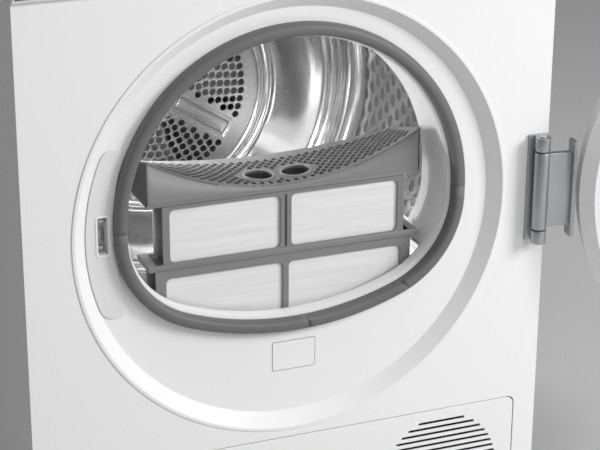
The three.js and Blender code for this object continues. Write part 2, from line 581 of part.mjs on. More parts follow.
function programKnob() {
  const { x, z, r, proud, stem } = KNOB, face = -FASCIA_PROUD - proud, back = -FASCIA_PROUD - 1;
  return turned([[0, face], [r - 4, face], [r - 1, face + 3], [r, back], [stem, back],
    [stem, -FASCIA_PROUD + 12], [0, -FASCIA_PROUD + 12]], 36, x, z);
}

function pushButton({ x, z, half }) {
  const face = -FASCIA_PROUD - BUTTON.travel - 0.6, back = -FASCIA_PROUD + 6;
  return turned([[0, face], [half - 1, face], [half, face + 1], [half, back], [0, back]], 24, x, z);
}

function waterTank() {
  const { left, width, low, height, length, wall, front } = TANK;
  const right = left + width, back = front + length;
  const outer = box(left, right, depth(front), depth(back), low, low + height);
  const inner = box(left + wall, right - wall, depth(front + wall), depth(back - wall),
    low + wall, low + height + 5);
  return cut(outer, inner);
}

// The drawer front has a finger pocket along its lower edge.
function tankFront() {
  const { x0, x1, z0, z1 } = TANK_FRONT, face = -FASCIA_PROUD - 1;
  const plate = box(x0, x1, depth(face), depth(TANK.front - GAP), z0, z1);
  const pocket = new THREE.CylinderGeometry(POCKET.r, POCKET.r, POCKET.width, 20).rotateZ(Math.PI / 2)
    .scale(1, POCKET.flatten, 1).translate((x0 + x1) / 2, depth(face), z0 + POCKET.raise);
  return cut(plate, pocket);
}

// ---------- Service flap ----------
function serviceFlap() {
  const s = roundedRect(-FLAP_HALF, FLAP_HALF, FLAP_BOTTOM, FLAP_TOP, FLAP_R);
  const rows = Math.floor(VENT.r / VENT.pitch);
  for (let k = -rows; k <= rows; k += 1) {
    const half = Math.sqrt(VENT.r ** 2 - (k * VENT.pitch) ** 2);
    const z = VENT.z + k * VENT.pitch, r = VENT.slot / 2;
    if (half < 3 * r) continue;
    const slot = roundedRect(VENT.x - half, VENT.x + half, z - r, z + r, r * 0.98);
    s.holes.push(new THREE.Path(slot.getPoints(1)));
  }
  return slab(s, -FLAP_PROUD, FLAP_THICK - FLAP_PROUD, 4);
}

// ---------- Door ----------
const HINGE_Y = depth(-HINGE.proud);
const door = new THREE.Group(); // turned about the hinge pin
door.position.set(HINGE.x, HINGE_Y, 0);
door.rotation.z = THREE.MathUtils.degToRad(DOOR_OPEN_DEG);
machine.add(door);
const closedDoor = new THREE.Group(); // holds the door's pieces where they are when it is shut
closedDoor.position.set(-HINGE.x, -HINGE_Y, 0);
door.add(closedDoor);

function doorRing() {
  const p = DOOR_PROUD;
  return turned([[WINDOW_R, -p + 2], [WINDOW_R + 8, -p - 2], [DOOR_R - 16, -p], [DOOR_R - 4, -p + 6],
    [DOOR_R, -3], [RECESS_FLOOR_R - 1, RIM_TIP], [RIM_INNER, RIM_TIP], [RIM_INNER, -8],
    [DOOR_R - 12, -10], [DOOR_R - 12, -p + 10], [WINDOW_R, -p + 8], [WINDOW_R, -p + 2]], ROUND);
}

function doorWindow() {
  const edge = WINDOW_R - GAP, face = -DOOR_PROUD;
  return turned([[0, face - 4], [70, face - 3], [WINDOW_R - 10, face + 1], [edge, face + 3], [edge, face + 7],
    [WINDOW_R - 12, face + 5], [70, face + 1], [0, face]], 48);
}

// The liner closes the door's inner side, and its plug reaches through the gasket.
function doorLiner() {
  const { face, wall, tip } = LINER, plug = GASKET_WIDTH + LINER.clear;
  const disc = rod(RIM_INNER - GAP - 0.4, -6, face, 0, RING_Z, ROUND);
  const nose = slab(openingOutline(plug), face - 1, tip, 6);
  const hollow = slab(openingOutline(plug + wall), -10, tip - wall, 6);
  return cut(join(disc, nose), hollow);
}

function doorHook() {
  const z = RING_Z + HOOK.z, w = HOOK.width / 2, h = HOOK.height / 2;
  const root = box(HOOK.x - w, HOOK.x + w - 0.2, depth(RIM_TIP + GAP), depth(HOOK.reach), z - h, z + h);
  const notch = box(HOOK.x - w - 1, HOOK.x + w + 1, depth(HOOK.reach - 9), depth(HOOK.reach - 4),
    z - 5, z + h + 1);
  return cut(root, notch);
}

const onPin = (r, length, segments) => upright(r, length, segments).translate(HINGE.x, HINGE_Y, RING_Z);

// A goose-neck from the door's rim to the pin: its eye turns between the bracket's two ears.
function hingeArm() {
  const { x, pinR, half, knuckle, ear, clear, gap } = HINGE;
  const reach = half - ear - 2 * gap;
  const eye = onPin(knuckle, 2 * reach, 24);
  const web = box(DOOR_R + 2, x - 2, HINGE_Y - 5, HINGE_Y + 3, RING_Z - reach + 2, RING_Z + reach - 2);
  const root = box(DOOR_R + GAP + 3.2, DOOR_R + 8, HINGE_Y - 9, HINGE_Y + 8,
    RING_Z - half + 6, RING_Z + half - 6);
  const trim = turned([[0, -80], [DOOR_R + GAP, -80], [DOOR_R + GAP, 20], [0, 20]], ROUND);
  return cut(join(eye, web, root), trim, onPin(pinR + clear, 4 * half, 16));
}

function hingeBracket() {
  const { x, pinR, half, knuckle, ear, clear, gap } = HINGE;
  const lug = (low) => join(
    upright(knuckle, ear, 24).translate(x, HINGE_Y, low + ear / 2),
    box(x - 5, x + knuckle, HINGE_Y, depth(-GAP - 1), low, low + ear));
  const plate = box(x - 11, x + 12, depth(-GAP - 3), depth(-GAP), RING_Z - half, RING_Z + half);
  const room = onPin(knuckle + 1.6, 2 * (half - ear - gap), 24);
  const solidPart = join(plate, lug(RING_Z - half), lug(RING_Z + half - ear));
  return cut(solidPart, onPin(pinR + clear, 4 * half, 16), room);
}

const hingePin = () => onPin(HINGE.pinR, 2 * HINGE.half + 2, 16);

// ---------- Lint filter ----------
// The middle of the cap's front arc.
const ARC_LOW = RING_Z + OPENING.bottom + GASKET_WIDTH + CAP_CLEAR + FILTER_RAISE;
const CAP_BASE = ARC_LOW - 7; // lower edge of the fascia
const LEDGE_TOP = CAP_BASE - UPPER_HEIGHT, LEDGE_LOW = LEDGE_TOP - LEDGE_HEIGHT;
const BODY_LOW = LEDGE_LOW - LOWER_HEIGHT;

// A shell between two arcs: the front one bends more than the back one.
function filterCap() {
  const columns = 16, rows = 2;
  const height = (u, v) => {
    const front = ARC_LOW + ARC_RISE * u * u, back = ARC_LOW + CAP_BACK_LIFT + BACK_RISE * u * u;
    return front + (back - front) * v;
  };
  const skin = (low, lift) => {
    const s = new THREE.BoxGeometry(2, 1, 1, columns, rows, 1);
    const p = s.attributes.position;
    for (let i = 0; i < p.count; i += 1) {
      const u = p.getX(i), v = p.getY(i) + 0.5, top = p.getZ(i) > 0;
      const length = FILTER_BACK - FILTER_FRONT - 2 * lift;
      p.setXYZ(i, u * (CAP_HALF - lift), depth(FILTER_FRONT + lift + v * length),
        top ? height(u, v) - low : CAP_BASE - (lift ? 5 : 0));
    }
    return s;
  };
  const fingers = [-1, 1].map((side) => upright(FINGER.r, 60, 20).scale(FINGER.wide, FINGER.deep, 1)
    .translate(side * FINGER.x, depth(FILTER_FRONT + FINGER.d), ARC_LOW + 6));
  const grille = [];
  for (let k = -GRILLE.last; k <= GRILLE.last; k += 1) {
    if (Math.abs(k) < GRILLE.first) continue;
    const x = k * GRILLE.pitch;
    grille.push(box(x - GRILLE.half, x + GRILLE.half, depth(FILTER_FRONT + GRILLE.front),
      depth(FILTER_BACK - GRILLE.back), ARC_LOW - 5, ARC_LOW + 80));
  }
  return cut(skin(0, 0), skin(CAP_WALL, CAP_WALL), ...fingers, ...grille);
}

function windowedFrame(d0, d1) {
  const f = FRAME, r = FRAME.corner;
  const s = new THREE.Shape();
  s.moveTo(-f.upHalf, CAP_BASE - GAP);
  s.lineTo(-f.upHalf, LEDGE_TOP);
  s.lineTo(-f.lowHalf, LEDGE_TOP);
  s.lineTo(-f.lowHalf, BODY_LOW);
  s.lineTo(f.lowHalf, BODY_LOW);
  s.lineTo(f.lowHalf, LEDGE_TOP);
  s.lineTo(f.upHalf, LEDGE_TOP);
  s.lineTo(f.upHalf, CAP_BASE - GAP);
  s.closePath();
  for (const side of [-1, 1]) {
    const span = (a, b) => (side > 0 ? [a, b] : [-b, -a]);
    const up = span(f.bar / 2, f.upHalf - f.side), low = span(f.lowBar / 2, f.lowHalf - f.sideLow);
    s.holes.push(new THREE.Path(roundedRect(...up, LEDGE_TOP + 1, CAP_BASE - 5, r).getPoints(3)));
    s.holes.push(new THREE.Path(roundedRect(...low, BODY_LOW + 12, LEDGE_LOW - 10, r).getPoints(3)));
  }
  return slab(s, d0, d1);
}

const MESH_FRONT = FILTER_FRONT + FRAME_THICK + GAP;
const FRAME_BACK = FILTER_FRONT + BODY_DEPTH;

// The front half also carries the body's side walls, floor and the ledge that seats on the duct.
function filterFrontFrame() {
  const f = FRAME, w = BODY_WALL, d0 = FILTER_FRONT, d1 = FRAME_BACK - FRAME_THICK - GAP;
  const face = windowedFrame(d0, d0 + FRAME_THICK);
  const walls = [-1, 1].flatMap((side) => {
    const span = (half) => (side > 0 ? [half - w, half] : [-half, -half + w]);
    return [box(...span(f.upHalf), depth(d0), depth(d1), LEDGE_TOP - 1, CAP_BASE - GAP),
      box(...span(f.lowHalf), depth(d0), depth(d1), BODY_LOW, LEDGE_TOP)];
  });
  const floor = box(-f.lowHalf, f.lowHalf, depth(d0), depth(d1), BODY_LOW, BODY_LOW + w);
  const inner = f.lowHalf - w;
  const shelf = box(-CAP_HALF, CAP_HALF, depth(d0 - 1), depth(d1 + 8), LEDGE_LOW, LEDGE_TOP);
  const well = box(-inner, inner, depth(d0 + 2), depth(d1 + 0.5), LEDGE_LOW - 5, LEDGE_TOP + 5);
  const backRoom = box(-f.lowHalf - GAP, f.lowHalf + GAP, depth(d1), depth(FRAME_BACK + GAP),
    BODY_LOW - 5, CAP_BASE + 5);
  return cut(join(face, ...walls, floor, cut(shelf, well)), backRoom);
}

const filterRearFrame = () => windowedFrame(FRAME_BACK - FRAME_THICK, FRAME_BACK);

const filterMesh = (d) => {
  const m = new THREE.Shape();
  const u = FRAME.upHalf - MESH_LAP, l = FRAME.lowHalf - MESH_LAP;
  const high = CAP_BASE - 2, mid = LEDGE_TOP - 2, low = BODY_LOW + MESH_LAP;
  m.setFromPoints([[-u, high], [-u, mid], [-l, mid], [-l, low], [l, low], [l, mid], [u, mid], [u, high]]
    .map(([x, z]) => new THREE.Vector2(x, z)));
  return slab(m, d, d + MESH_THICK);
};

// ---------- Assembly ----------
add("base_tray", baseTray(), finish.dark);
footPlaces.forEach((place, k) => add(`foot_${k + 1}`, foot(place), finish.black));
add("left_side_panel", sidePanel(-1), finish.enamel);
add("right_side_panel", sidePanel(1), finish.enamel);
add("rear_panel", rearPanel(), finish.zinc);
add("front_panel", frontPanel(), finish.enamel);
add("top_panel", topPanel(), finish.enamel);
add("door_recess", doorRecess(), finish.plastic);
add("door_gasket", doorGasket(), finish.rubber);
add("opening_collar", openingCollar(), finish.collar);
add("latch_plate", latchPlate(), finish.latch);
add("latch_cup", latchCup(), finish.zinc);
add("front_bulkhead", frontBulkhead(), finish.zinc);
add("drum_seal", drumSeal(), finish.felt);
add("filter_duct", filterDuct(), finish.collar);
add("drum_shell", drumShell(), finish.steel);
add("drum_rear_wall", drumRearWall(), finish.steel);
for (let k = 0; k < LIFTERS; k += 1) add(`lifter_${k + 1}`, lifter(k), finish.collar);
add("drum_shaft", drumShaft(), finish.zinc);
add("bearing_bush", bearingBush(), finish.dark);
add("rear_bulkhead", rearBulkhead(), finish.zinc);
add("rear_duct_cover", rearDuctCover(), finish.zinc);
add("drum_belt", drumBelt(), finish.black);
add("motor", motor(), finish.zinc);
add("motor_pulley", motorPulley(), finish.zinc);
add("fan_wheel", fanWheel(), finish.black);
add("tension_pulley", tensionPulley(), finish.dark);
add("tension_arm", tensionArm(), finish.zinc);
add("evaporator", evaporator(), finish.aluminium);
add("condenser", condenser(), finish.aluminium);
add("compressor", compressor(), finish.black);
add("refrigerant_pipe", refrigerantPipe(), finish.copper);
add("condensate_pump", condensatePump(), finish.dark);
add("mains_gland", mainsGland(), finish.black);
add("control_panel", controlPanel(), finish.plastic);
add("display_window", displayWindow(), finish.glass);
add("control_board", controlBoard(), finish.board);
add("program_knob", programKnob(), finish.latch);
add("start_button", pushButton(START), finish.latch);
add("power_button", pushButton(POWER), finish.latch);
add("water_tank", waterTank(), finish.plastic);
add("tank_front", tankFront(), finish.plastic);
add("service_flap", serviceFlap(), finish.enamel);
add("hinge_bracket", hingeBracket(), finish.zinc);
add("hinge_pin", hingePin(), finish.steel);
add("door_ring", doorRing(), finish.plastic, closedDoor);
add("door_window", doorWindow(), finish.glass, closedDoor);
add("door_liner", doorLiner(), finish.plastic, closedDoor);
add("door_hook", doorHook(), finish.zinc, closedDoor);
add("hinge_arm", hingeArm(), finish.zinc, closedDoor);
add("filter_cap", filterCap(), finish.filter);
add("filter_front_frame", filterFrontFrame(), finish.filter);
add("filter_rear_frame", filterRearFrame(), finish.filter);
add("filter_front_mesh", filterMesh(MESH_FRONT), finish.mesh);
add("filter_rear_mesh", filterMesh(FRAME_BACK - FRAME_THICK - GAP - 2 - MESH_THICK), finish.mesh);

export default machine;
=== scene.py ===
import json
from math import atan2, ceil, cos, pi, radians, sin, sqrt

import bpy
from mathutils import Matrix, Vector


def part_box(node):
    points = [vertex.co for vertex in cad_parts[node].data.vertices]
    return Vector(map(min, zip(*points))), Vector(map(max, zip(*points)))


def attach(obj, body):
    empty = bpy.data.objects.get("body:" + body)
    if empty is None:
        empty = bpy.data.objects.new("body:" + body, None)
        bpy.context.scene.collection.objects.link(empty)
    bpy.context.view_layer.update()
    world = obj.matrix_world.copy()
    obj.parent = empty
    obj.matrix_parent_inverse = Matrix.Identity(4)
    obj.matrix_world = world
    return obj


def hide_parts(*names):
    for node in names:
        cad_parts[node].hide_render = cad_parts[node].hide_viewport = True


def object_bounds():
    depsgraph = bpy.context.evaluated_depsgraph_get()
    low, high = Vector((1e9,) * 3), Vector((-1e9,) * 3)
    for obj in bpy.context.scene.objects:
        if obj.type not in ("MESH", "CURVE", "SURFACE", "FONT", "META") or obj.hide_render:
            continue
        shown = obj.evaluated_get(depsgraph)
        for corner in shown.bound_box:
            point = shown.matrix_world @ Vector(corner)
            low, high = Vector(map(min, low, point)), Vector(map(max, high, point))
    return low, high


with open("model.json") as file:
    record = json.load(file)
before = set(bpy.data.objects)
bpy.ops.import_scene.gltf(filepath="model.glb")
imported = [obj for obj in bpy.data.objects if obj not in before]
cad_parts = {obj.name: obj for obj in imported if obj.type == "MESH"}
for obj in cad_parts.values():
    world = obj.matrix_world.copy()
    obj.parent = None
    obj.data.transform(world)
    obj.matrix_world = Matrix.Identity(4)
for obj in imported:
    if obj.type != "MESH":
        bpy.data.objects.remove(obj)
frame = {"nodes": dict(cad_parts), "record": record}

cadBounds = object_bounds()


# ---- measuring the frame -------------------------------------------------------------------

def middle(node):
    low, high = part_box(node)
    return [(a + b) / 2 for a, b in zip(low, high)]


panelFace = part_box("front_panel")[0][1]          # the plane of the cabinet's front
ringX, _, ringZ = middle("door_recess")          # the middle of the round door recess
hinge = next(joint for joint in frame["record"]["behaviour"]["joints"] if joint["name"] == "door_hinge")
doorSwing = -radians(hinge["range_deg"][0])      # how far the door stands open at rest


def depth(distance):
    return panelFace + distance                  # a distance behind the cabinet's front


# ---- modelling helpers ---------------------------------------------------------------------

def pickOnly(*objects):
    if bpy.context.object and bpy.context.object.mode == "EDIT":
        bpy.ops.object.mode_set(mode="OBJECT")
    bpy.ops.object.select_all(action="DESELECT")
    for item in objects:
        item.select_set(True)
    bpy.context.view_layer.objects.active = objects[0]


def tidy(piece, smooth=32, weld=0.00001, turn=True):
    # merges loose points, points the faces outwards, and puts the place into the mesh
    pickOnly(piece)
    bpy.ops.object.transform_apply(location=True, rotation=True, scale=True)
    bpy.ops.object.mode_set(mode="EDIT")
    bpy.ops.mesh.select_all(action="SELECT")
    bpy.ops.mesh.remove_doubles(threshold=weld)
    if turn:
        bpy.ops.mesh.normals_make_consistent(inside=False)
    bpy.ops.object.mode_set(mode="OBJECT")
    bpy.ops.object.shade_smooth_by_angle(angle=radians(smooth))
    return piece


def modify(piece, kind, **settings):
    pickOnly(piece)
    change = piece.modifiers.new(kind, kind)
    for key, value in settings.items():
        setattr(change, key, value)
    bpy.ops.object.modifier_apply(modifier=change.name)
    return piece


def softEdges(piece, width, segments=3, angle=30):
    return modify(piece, "BEVEL", width=width, segments=segments, limit_method="ANGLE",
                  angle_limit=radians(angle), use_clamp_overlap=True)


def drawLine(name, points, closed=False):
    # one point is dragged out along the line, as with the extrude key
    bpy.ops.object.select_all(action="DESELECT")
    bpy.ops.mesh.primitive_plane_add(size=0.001, location=points[0])
    piece = bpy.context.object
    piece.name = name
    bpy.ops.object.mode_set(mode="EDIT")
    bpy.ops.mesh.merge(type="CENTER")
    route = list(points) + ([points[0]] if closed else [])
    for here, there in zip(route, route[1:]):
        step = Vector(there) - Vector(here)
        bpy.ops.mesh.extrude_region_move(TRANSFORM_OT_translate={"value": step})
    bpy.ops.mesh.select_all(action="SELECT")
    bpy.ops.mesh.remove_doubles(threshold=0.000001)
    return piece


def spinRound(name, profile, steps=180, x=None, z=None, closed=True, smooth=32):
    # a profile of (radius, depth) pairs, drawn to the right of the axis and spun about it
    x = ringX if x is None else x
    z = ringZ if z is None else z
    piece = drawLine(name, [(x + r, depth(d), z) for r, d in profile], closed)
    bpy.ops.mesh.spin(steps=steps, angle=2 * pi, center=(x, 0, z), axis=(0, 1, 0))
    bpy.ops.object.mode_set(mode="OBJECT")
    return tidy(piece, smooth)


def drawFlat(name, outlines, height=0.0, edge=0.0, edgeSteps=2):
    # the first outline is filled, and the others are holes in it
    drawing = bpy.data.curves.new(name, "CURVE")
    drawing.dimensions = "2D"
    drawing.fill_mode = "BOTH"
    drawing.extrude = height / 2 - edge
    drawing.bevel_depth = edge
    drawing.bevel_resolution = edgeSteps
    for number, outline in enumerate(outlines):
        area = sum(a[0] * b[1] - b[0] * a[1] for a, b in zip(outline, outline[1:] + outline[:1]))
        ordered = outline if (area > 0) == (number == 0) else outline[::-1]
        line = drawing.splines.new("POLY")
        line.points.add(len(ordered) - 1)
        for point, (across, up) in zip(line.points, ordered):
            point.co = (across, up, 0, 1)
        line.use_cyclic_u = True
    drawing.offset = -edge
    piece = bpy.data.objects.new(name, drawing)
    bpy.context.collection.objects.link(piece)
    return piece


def cutPlate(name, outlines, near, far, edge=0.0, smooth=32, edgeSteps=2):
    # a plate standing across the machine, drawn in X and Z, from one depth to another
    piece = drawFlat(name, outlines, far - near, edge, edgeSteps)
    piece.rotation_euler.x = pi / 2
    piece.location.y = depth((near + far) / 2)
    pickOnly(piece)
    bpy.ops.object.convert(target="MESH")
    plate = tidy(bpy.context.object, smooth, 0.000002)
    if edge:
        # the broad faces stay flat right up to their rounded edges
        modify(plate, "WEIGHTED_NORMAL", keep_sharp=True)
    return plate


def sweepRound(name, outline, section, smooth=40):
    # a closed section of (inwards, depth) pairs, swept along an outline in X and Z
    rail = drawFlat(name, [outline])
    rail.data.fill_mode = "NONE"
    profile = drawFlat(name + "_section", [[(inwards, -d) for inwards, d in section]])
    profile.data.fill_mode = "NONE"
    rail.data.bevel_mode = "OBJECT"
    rail.data.bevel_object = profile
    rail.rotation_euler.x = pi / 2
    rail.location.y = panelFace
    pickOnly(rail)
    bpy.ops.object.convert(target="MESH")
    piece = bpy.context.object
    bpy.data.objects.remove(profile)
    return tidy(piece, smooth)


def cube(name, x0, x1, d0, d1, z0, z1, soft=0.0, segments=3):
    bpy.ops.object.select_all(action="DESELECT")
    bpy.ops.mesh.primitive_cube_add(size=1, location=((x0 + x1) / 2, depth((d0 + d1) / 2), (z0 + z1) / 2))
    piece = bpy.context.object
    piece.name = name
    piece.scale = (x1 - x0, d1 - d0, z1 - z0)
    bpy.ops.object.transform_apply(location=True, rotation=True, scale=True)
    if soft:
        softEdges(piece, soft, segments)
    bpy.ops.object.shade_smooth_by_angle(angle=radians(32))
    return piece


def joined(name, *parts):
    pickOnly(*parts)
    bpy.ops.object.join()
    bpy.context.object.name = name
    return bpy.context.object


def cutAway(piece, *tools):
    for tool in tools:
        modify(piece, "BOOLEAN", operation="DIFFERENCE", solver="EXACT", object=tool)
        bpy.data.objects.remove(tool)
    return piece


def softened(node, width=0.0, segments=2, smooth=35, angle=30):
    # a copy of a frame node, merged, with its sharp edges rounded
    piece = frame["nodes"][node].copy()
    piece.data = piece.data.copy()
    piece.name = node + "_finished"
    piece.parent = None
    bpy.context.collection.objects.link(piece)
    pickOnly(piece)
    bpy.ops.object.mode_set(mode="EDIT")
    bpy.ops.mesh.select_all(action="SELECT")
    bpy.ops.mesh.remove_doubles(threshold=0.000005)
    bpy.ops.mesh.dissolve_limited(angle_limit=radians(1))
    bpy.ops.object.mode_set(mode="OBJECT")
    if width:
        softEdges(piece, width, segments, angle)
    pickOnly(piece)
    bpy.ops.object.shade_smooth_by_angle(angle=radians(smooth))
    return piece


def fit(piece, body, material, slot, *replaced):
    # gives a finished piece its material and the body that it moves with
    piece.data.materials.clear()
    piece.data.materials.append(material)
    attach(piece, body)
    if replaced:
        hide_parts(*replaced)
    return piece


def swingOpen(piece):
    # the door's pieces are drawn shut, then turned about the hinge pin to where the door stands
    pivot = Vector(hinge["pos_m"])
    turn = Matrix.Translation(pivot) @ Matrix.Rotation(doorSwing, 4, "Z") @ Matrix.Translation(-pivot)
    piece.matrix_world = turn @ piece.matrix_world
    pickOnly(piece)
    bpy.ops.object.transform_apply(location=True, rotation=True, scale=True)
    return piece


def arc(x, z, r, start, end, steps):
    return [(x + r * cos(start + (end - start) * k / steps), z + r * sin(start + (end - start) * k / steps))
            for k in range(steps + 1)]


def circle(r, steps=180, x=None, z=None):
    return arc(ringX if x is None else x, ringZ if z is None else z, r, 0, 2 * pi, steps)[:-1]


def roundedBox(x0, x1, z0, z1, r, steps=8):
    return (arc(x1 - r, z1 - r, r, 0, pi / 2, steps) + arc(x0 + r, z1 - r, r, pi / 2, pi, steps)
            + arc(x0 + r, z0 + r, r, pi, 1.5 * pi, steps) + arc(x1 - r, z0 + r, r, 1.5 * pi, 2 * pi, steps))


# ---- materials -----------------------------------------------------------------------------

def toLinear(colour):
    channels = [int(colour[k:k + 2], 16) / 255 for k in (1, 3, 5)]
    return [c / 12.92 if c <= 0.04045 else ((c + 0.055) / 1.055) ** 2.4 for c in channels] + [1.0]


def addNode(tree, kind, settings=None, links=None):
    node = tree.nodes.new("ShaderNode" + kind)
    for key, value in (settings or {}).items():
        if isinstance(key, int) or key in node.inputs:
            node.inputs[key].default_value = value
        else:
            setattr(node, key, value)
    for key, source in (links or {}).items():
        tree.links.new(source, node.inputs[key])
    return node


def startMaterial(name, **settings):
    material = bpy.data.materials.new(name)
    material.use_nodes = True
    shader = material.node_tree.nodes["Principled BSDF"]
    for key, value in settings.items():
        shader.inputs[key.replace("_", " ")].default_value = value
    place = addNode(material.node_tree, "TexCoord").outputs["Object"]
    return material, material.node_tree, shader, place


def moulded(name, colour, roughness, grain, relief, shade=0.05, **settings):
    # moulded or coated skin: a fine grain in the relief, and a slow drift in tone and gloss
    material, tree, shader, place = startMaterial(name, **settings)
    fine = addNode(tree, "TexNoise", {"Scale": 1000 / grain, "Detail": 3.0}, {"Vector": place})
    slow = addNode(tree, "TexNoise", {"Scale": 1000 / 170, "Detail": 2.0}, {"Vector": place})
    low = [c * (1 - shade) for c in toLinear(colour)[:3]] + [1.0]
    tone = addNode(tree, "MixRGB", {"Color1": low, "Color2": toLinear(colour)}, {"Fac": slow.outputs["Fac"]})
    gloss = addNode(tree, "MapRange", {"To Min": roughness - 0.05, "To Max": roughness + 0.05},
                    {"Value": fine.outputs["Fac"]})
    bump = addNode(tree, "Bump", {"Strength": 0.35, "Distance": relief / 1000},
                   {"Height": fine.outputs["Fac"]})
    tree.links.new(tone.outputs["Color"], shader.inputs["Base Color"])
    tree.links.new(gloss.outputs["Result"], shader.inputs["Roughness"])
    tree.links.new(bump.outputs["Normal"], shader.inputs["Normal"])
    return material


def sheetMetal(name, colour, roughness, wave, relief, streak=0.04):
    # rolled sheet: slow waves bend its reflections, and faint streaks change its gloss
    material, tree, shader, place = startMaterial(name, Metallic=1.0)
    slow = addNode(tree, "TexNoise", {"Scale": 1000 / wave, "Detail": 1.5}, {"Vector": place})
    stretch = addNode(tree, "Mapping", {"Scale": (1.0, 14.0, 1.0)}, {"Vector": place})
    fine = addNode(tree, "TexNoise", {"Scale": 1000 / 9, "Detail": 4.0},
                   {"Vector": stretch.outputs["Vector"]})
    low = [c * 0.86 for c in toLinear(colour)[:3]] + [1.0]
    tone = addNode(tree, "MixRGB", {"Color1": low, "Color2": toLinear(colour)}, {"Fac": fine.outputs["Fac"]})
    gloss = addNode(tree, "MapRange", {"To Min": roughness - streak, "To Max": roughness + streak},
                    {"Value": fine.outputs["Fac"]})
    bump = addNode(tree, "Bump", {"Strength": 0.5, "Distance": relief / 1000},
                   {"Height": slow.outputs["Fac"]})
    tree.links.new(tone.outputs["Color"], shader.inputs["Base Color"])
    tree.links.new(gloss.outputs["Result"], shader.inputs["Roughness"])
    tree.links.new(bump.outputs["Normal"], shader.inputs["Normal"])
    return material


def filterNet():
    # woven polyester net: bright fine threads, with gaps that let the dark behind show faintly
    material, tree, shader, place = startMaterial("wovenPolyesterNet", Roughness=0.6)
    threads = []
    for axis in ("X", "Z"):
        threads.append(addNode(tree, "TexWave", {"bands_direction": axis, "Scale": pi / 10 / 0.0011,
                                                 "Distortion": 0.3}, {"Vector": place}))
    stretch = addNode(tree, "Mapping", {"Scale": (5.0, 5.0, 130.0)}, {"Vector": place})
    streaks = addNode(tree, "TexNoise", {"Scale": 1.6, "Detail": 3.0}, {"Vector": stretch.outputs["Vector"]})
    weave = addNode(tree, "Math", {"operation": "MAXIMUM"},
                    {0: threads[0].outputs["Fac"], 1: threads[1].outputs["Fac"]})
    tone = addNode(tree, "MixRGB", {"Color1": toLinear("#e0e0e0"), "Color2": toLinear("#fefefe")},
                   {"Fac": streaks.outputs["Fac"]})
    cover = addNode(tree, "MapRange", {"To Min": 0.68, "To Max": 0.97}, {"Value": weave.outputs["Value"]})
    bump = addNode(tree, "Bump", {"Strength": 0.25, "Distance": 0.0002}, {"Height": weave.outputs["Value"]})
    tree.links.new(tone.outputs["Color"], shader.inputs["Base Color"])
    tree.links.new(cover.outputs["Result"], shader.inputs["Alpha"])
    tree.links.new(bump.outputs["Normal"], shader.inputs["Normal"])
    return material


def smokedGlass():
    # toughened glass, tinted through: dark, clear and hard, with a faint film of lint
    material, tree, shader, place = startMaterial("smokedToughenedGlass", IOR=1.5, Transmission_Weight=0.82,
                                                  Base_Color=toLinear("#5a5e61"))
    film = addNode(tree, "TexNoise", {"Scale": 1000 / 60, "Detail": 4.0}, {"Vector": place})
    gloss = addNode(tree, "MapRange", {"To Min": 0.02, "To Max": 0.09}, {"Value": film.outputs["Fac"]})
    tree.links.new(gloss.outputs["Result"], shader.inputs["Roughness"])
    return material


# name, colour, roughness, grain and relief in millimetres, drift in tone
# powder coat and gloss plastics: clean whites with a soft, even sheen
enamel = moulded("powderCoatedSteelWhite", "#f1f1f1", 0.36, 2.6, 0.02, 0.015, Coat_Weight=0.15)
whiteAbs = moulded("mouldedAbsWhite", "#f0f0f0", 0.38, 0.9, 0.012, 0.02)
linerPlastic = moulded("mouldedPolypropylenePale", "#dcdcdc", 0.45, 0.8, 0.015)
latchPlastic = moulded("mouldedAcetalGrey", "#e4e4e4", 0.42, 0.8, 0.012, 0.03)
# soft rubber: a dull grey with no clear highlight
gasketRubber = moulded("mouldedEpdmGrey", "#6a6a6a", 0.55, 0.5, 0.03, 0.08)
# the opening's collar is a light plastic with a silky sheen
collarPlastic = moulded("mouldedPolypropylenePearl", "#eeeeee", 0.36, 0.8, 0.012, 0.04)
# the filter's plastics go from slate to near black, all finely grained and dull; the near black is painted
# shade, laid where the filter stands in shade
filterPlastic = moulded("mouldedPolypropyleneSlate", "#828282", 0.5, 0.6, 0.02, 0.06)
latticePlastic = moulded("mouldedPolypropyleneGraphite", "#6c6c6c", 0.5, 0.6, 0.02, 0.06)
filterPaintedShade = moulded("polypropylenePaintedShade", "#3d3d3d", 0.6, 0.6, 0.02, 0.08)
# dark plastics and lacquers: the sheen alone shows their shape
darkPlastic = moulded("mouldedPolyamideBlack", "#2b2b2b", 0.5, 0.6, 0.02, 0.1)
rubberBlack = moulded("mouldedRubberBlack", "#1f1f1f", 0.75, 0.5, 0.04, 0.15)
displayPlastic = moulded("polishedAcrylicBlack", "#101214", 0.08, 30.0, 0.01, 0.05)
compressorPaint = moulded("brushedLacquerBlack", "#1b1b1d", 0.3, 1.5, 0.03, 0.1)
motorPaint = moulded("sprayedLacquerGrey", "#70757a", 0.42, 1.2, 0.03, 0.1)
boardResin = moulded("glassEpoxyGreen", "#2c6a45", 0.4, 1.5, 0.02, 0.2)
# felt scatters light in its fibres, so it looks flat and woolly
woolFelt = moulded("pressedWoolFelt", "#8b8a82", 0.95, 1.4, 0.3, 0.25, Sheen_Weight=0.4)
# bare metals: zinc is matt and mottled, and the turned, rolled and drawn ones are brighter
galvanised = sheetMetal("galvanisedSheet", "#b9bbbd", 0.42, 30, 0.2, 0.08)
turnedSteel = sheetMetal("turnedSteel", "#c2c2c2", 0.3, 20, 0.05, 0.06)
finAluminium = sheetMetal("rolledAluminiumFin", "#cfd1d2", 0.35, 20, 0.1, 0.06)
copperTube = sheetMetal("drawnCopper", "#c07a55", 0.3, 25, 0.06, 0.06)
bearingBronze = sheetMetal("sinteredBronze", "#a8834a", 0.45, 10, 0.05, 0.06)
# bright annealed stainless sheet: near mirror, with the slow ripple that pressing leaves
stainless = sheetMetal("brightAnnealedStainless", "#d9d9d9", 0.15, 70, 0.9)
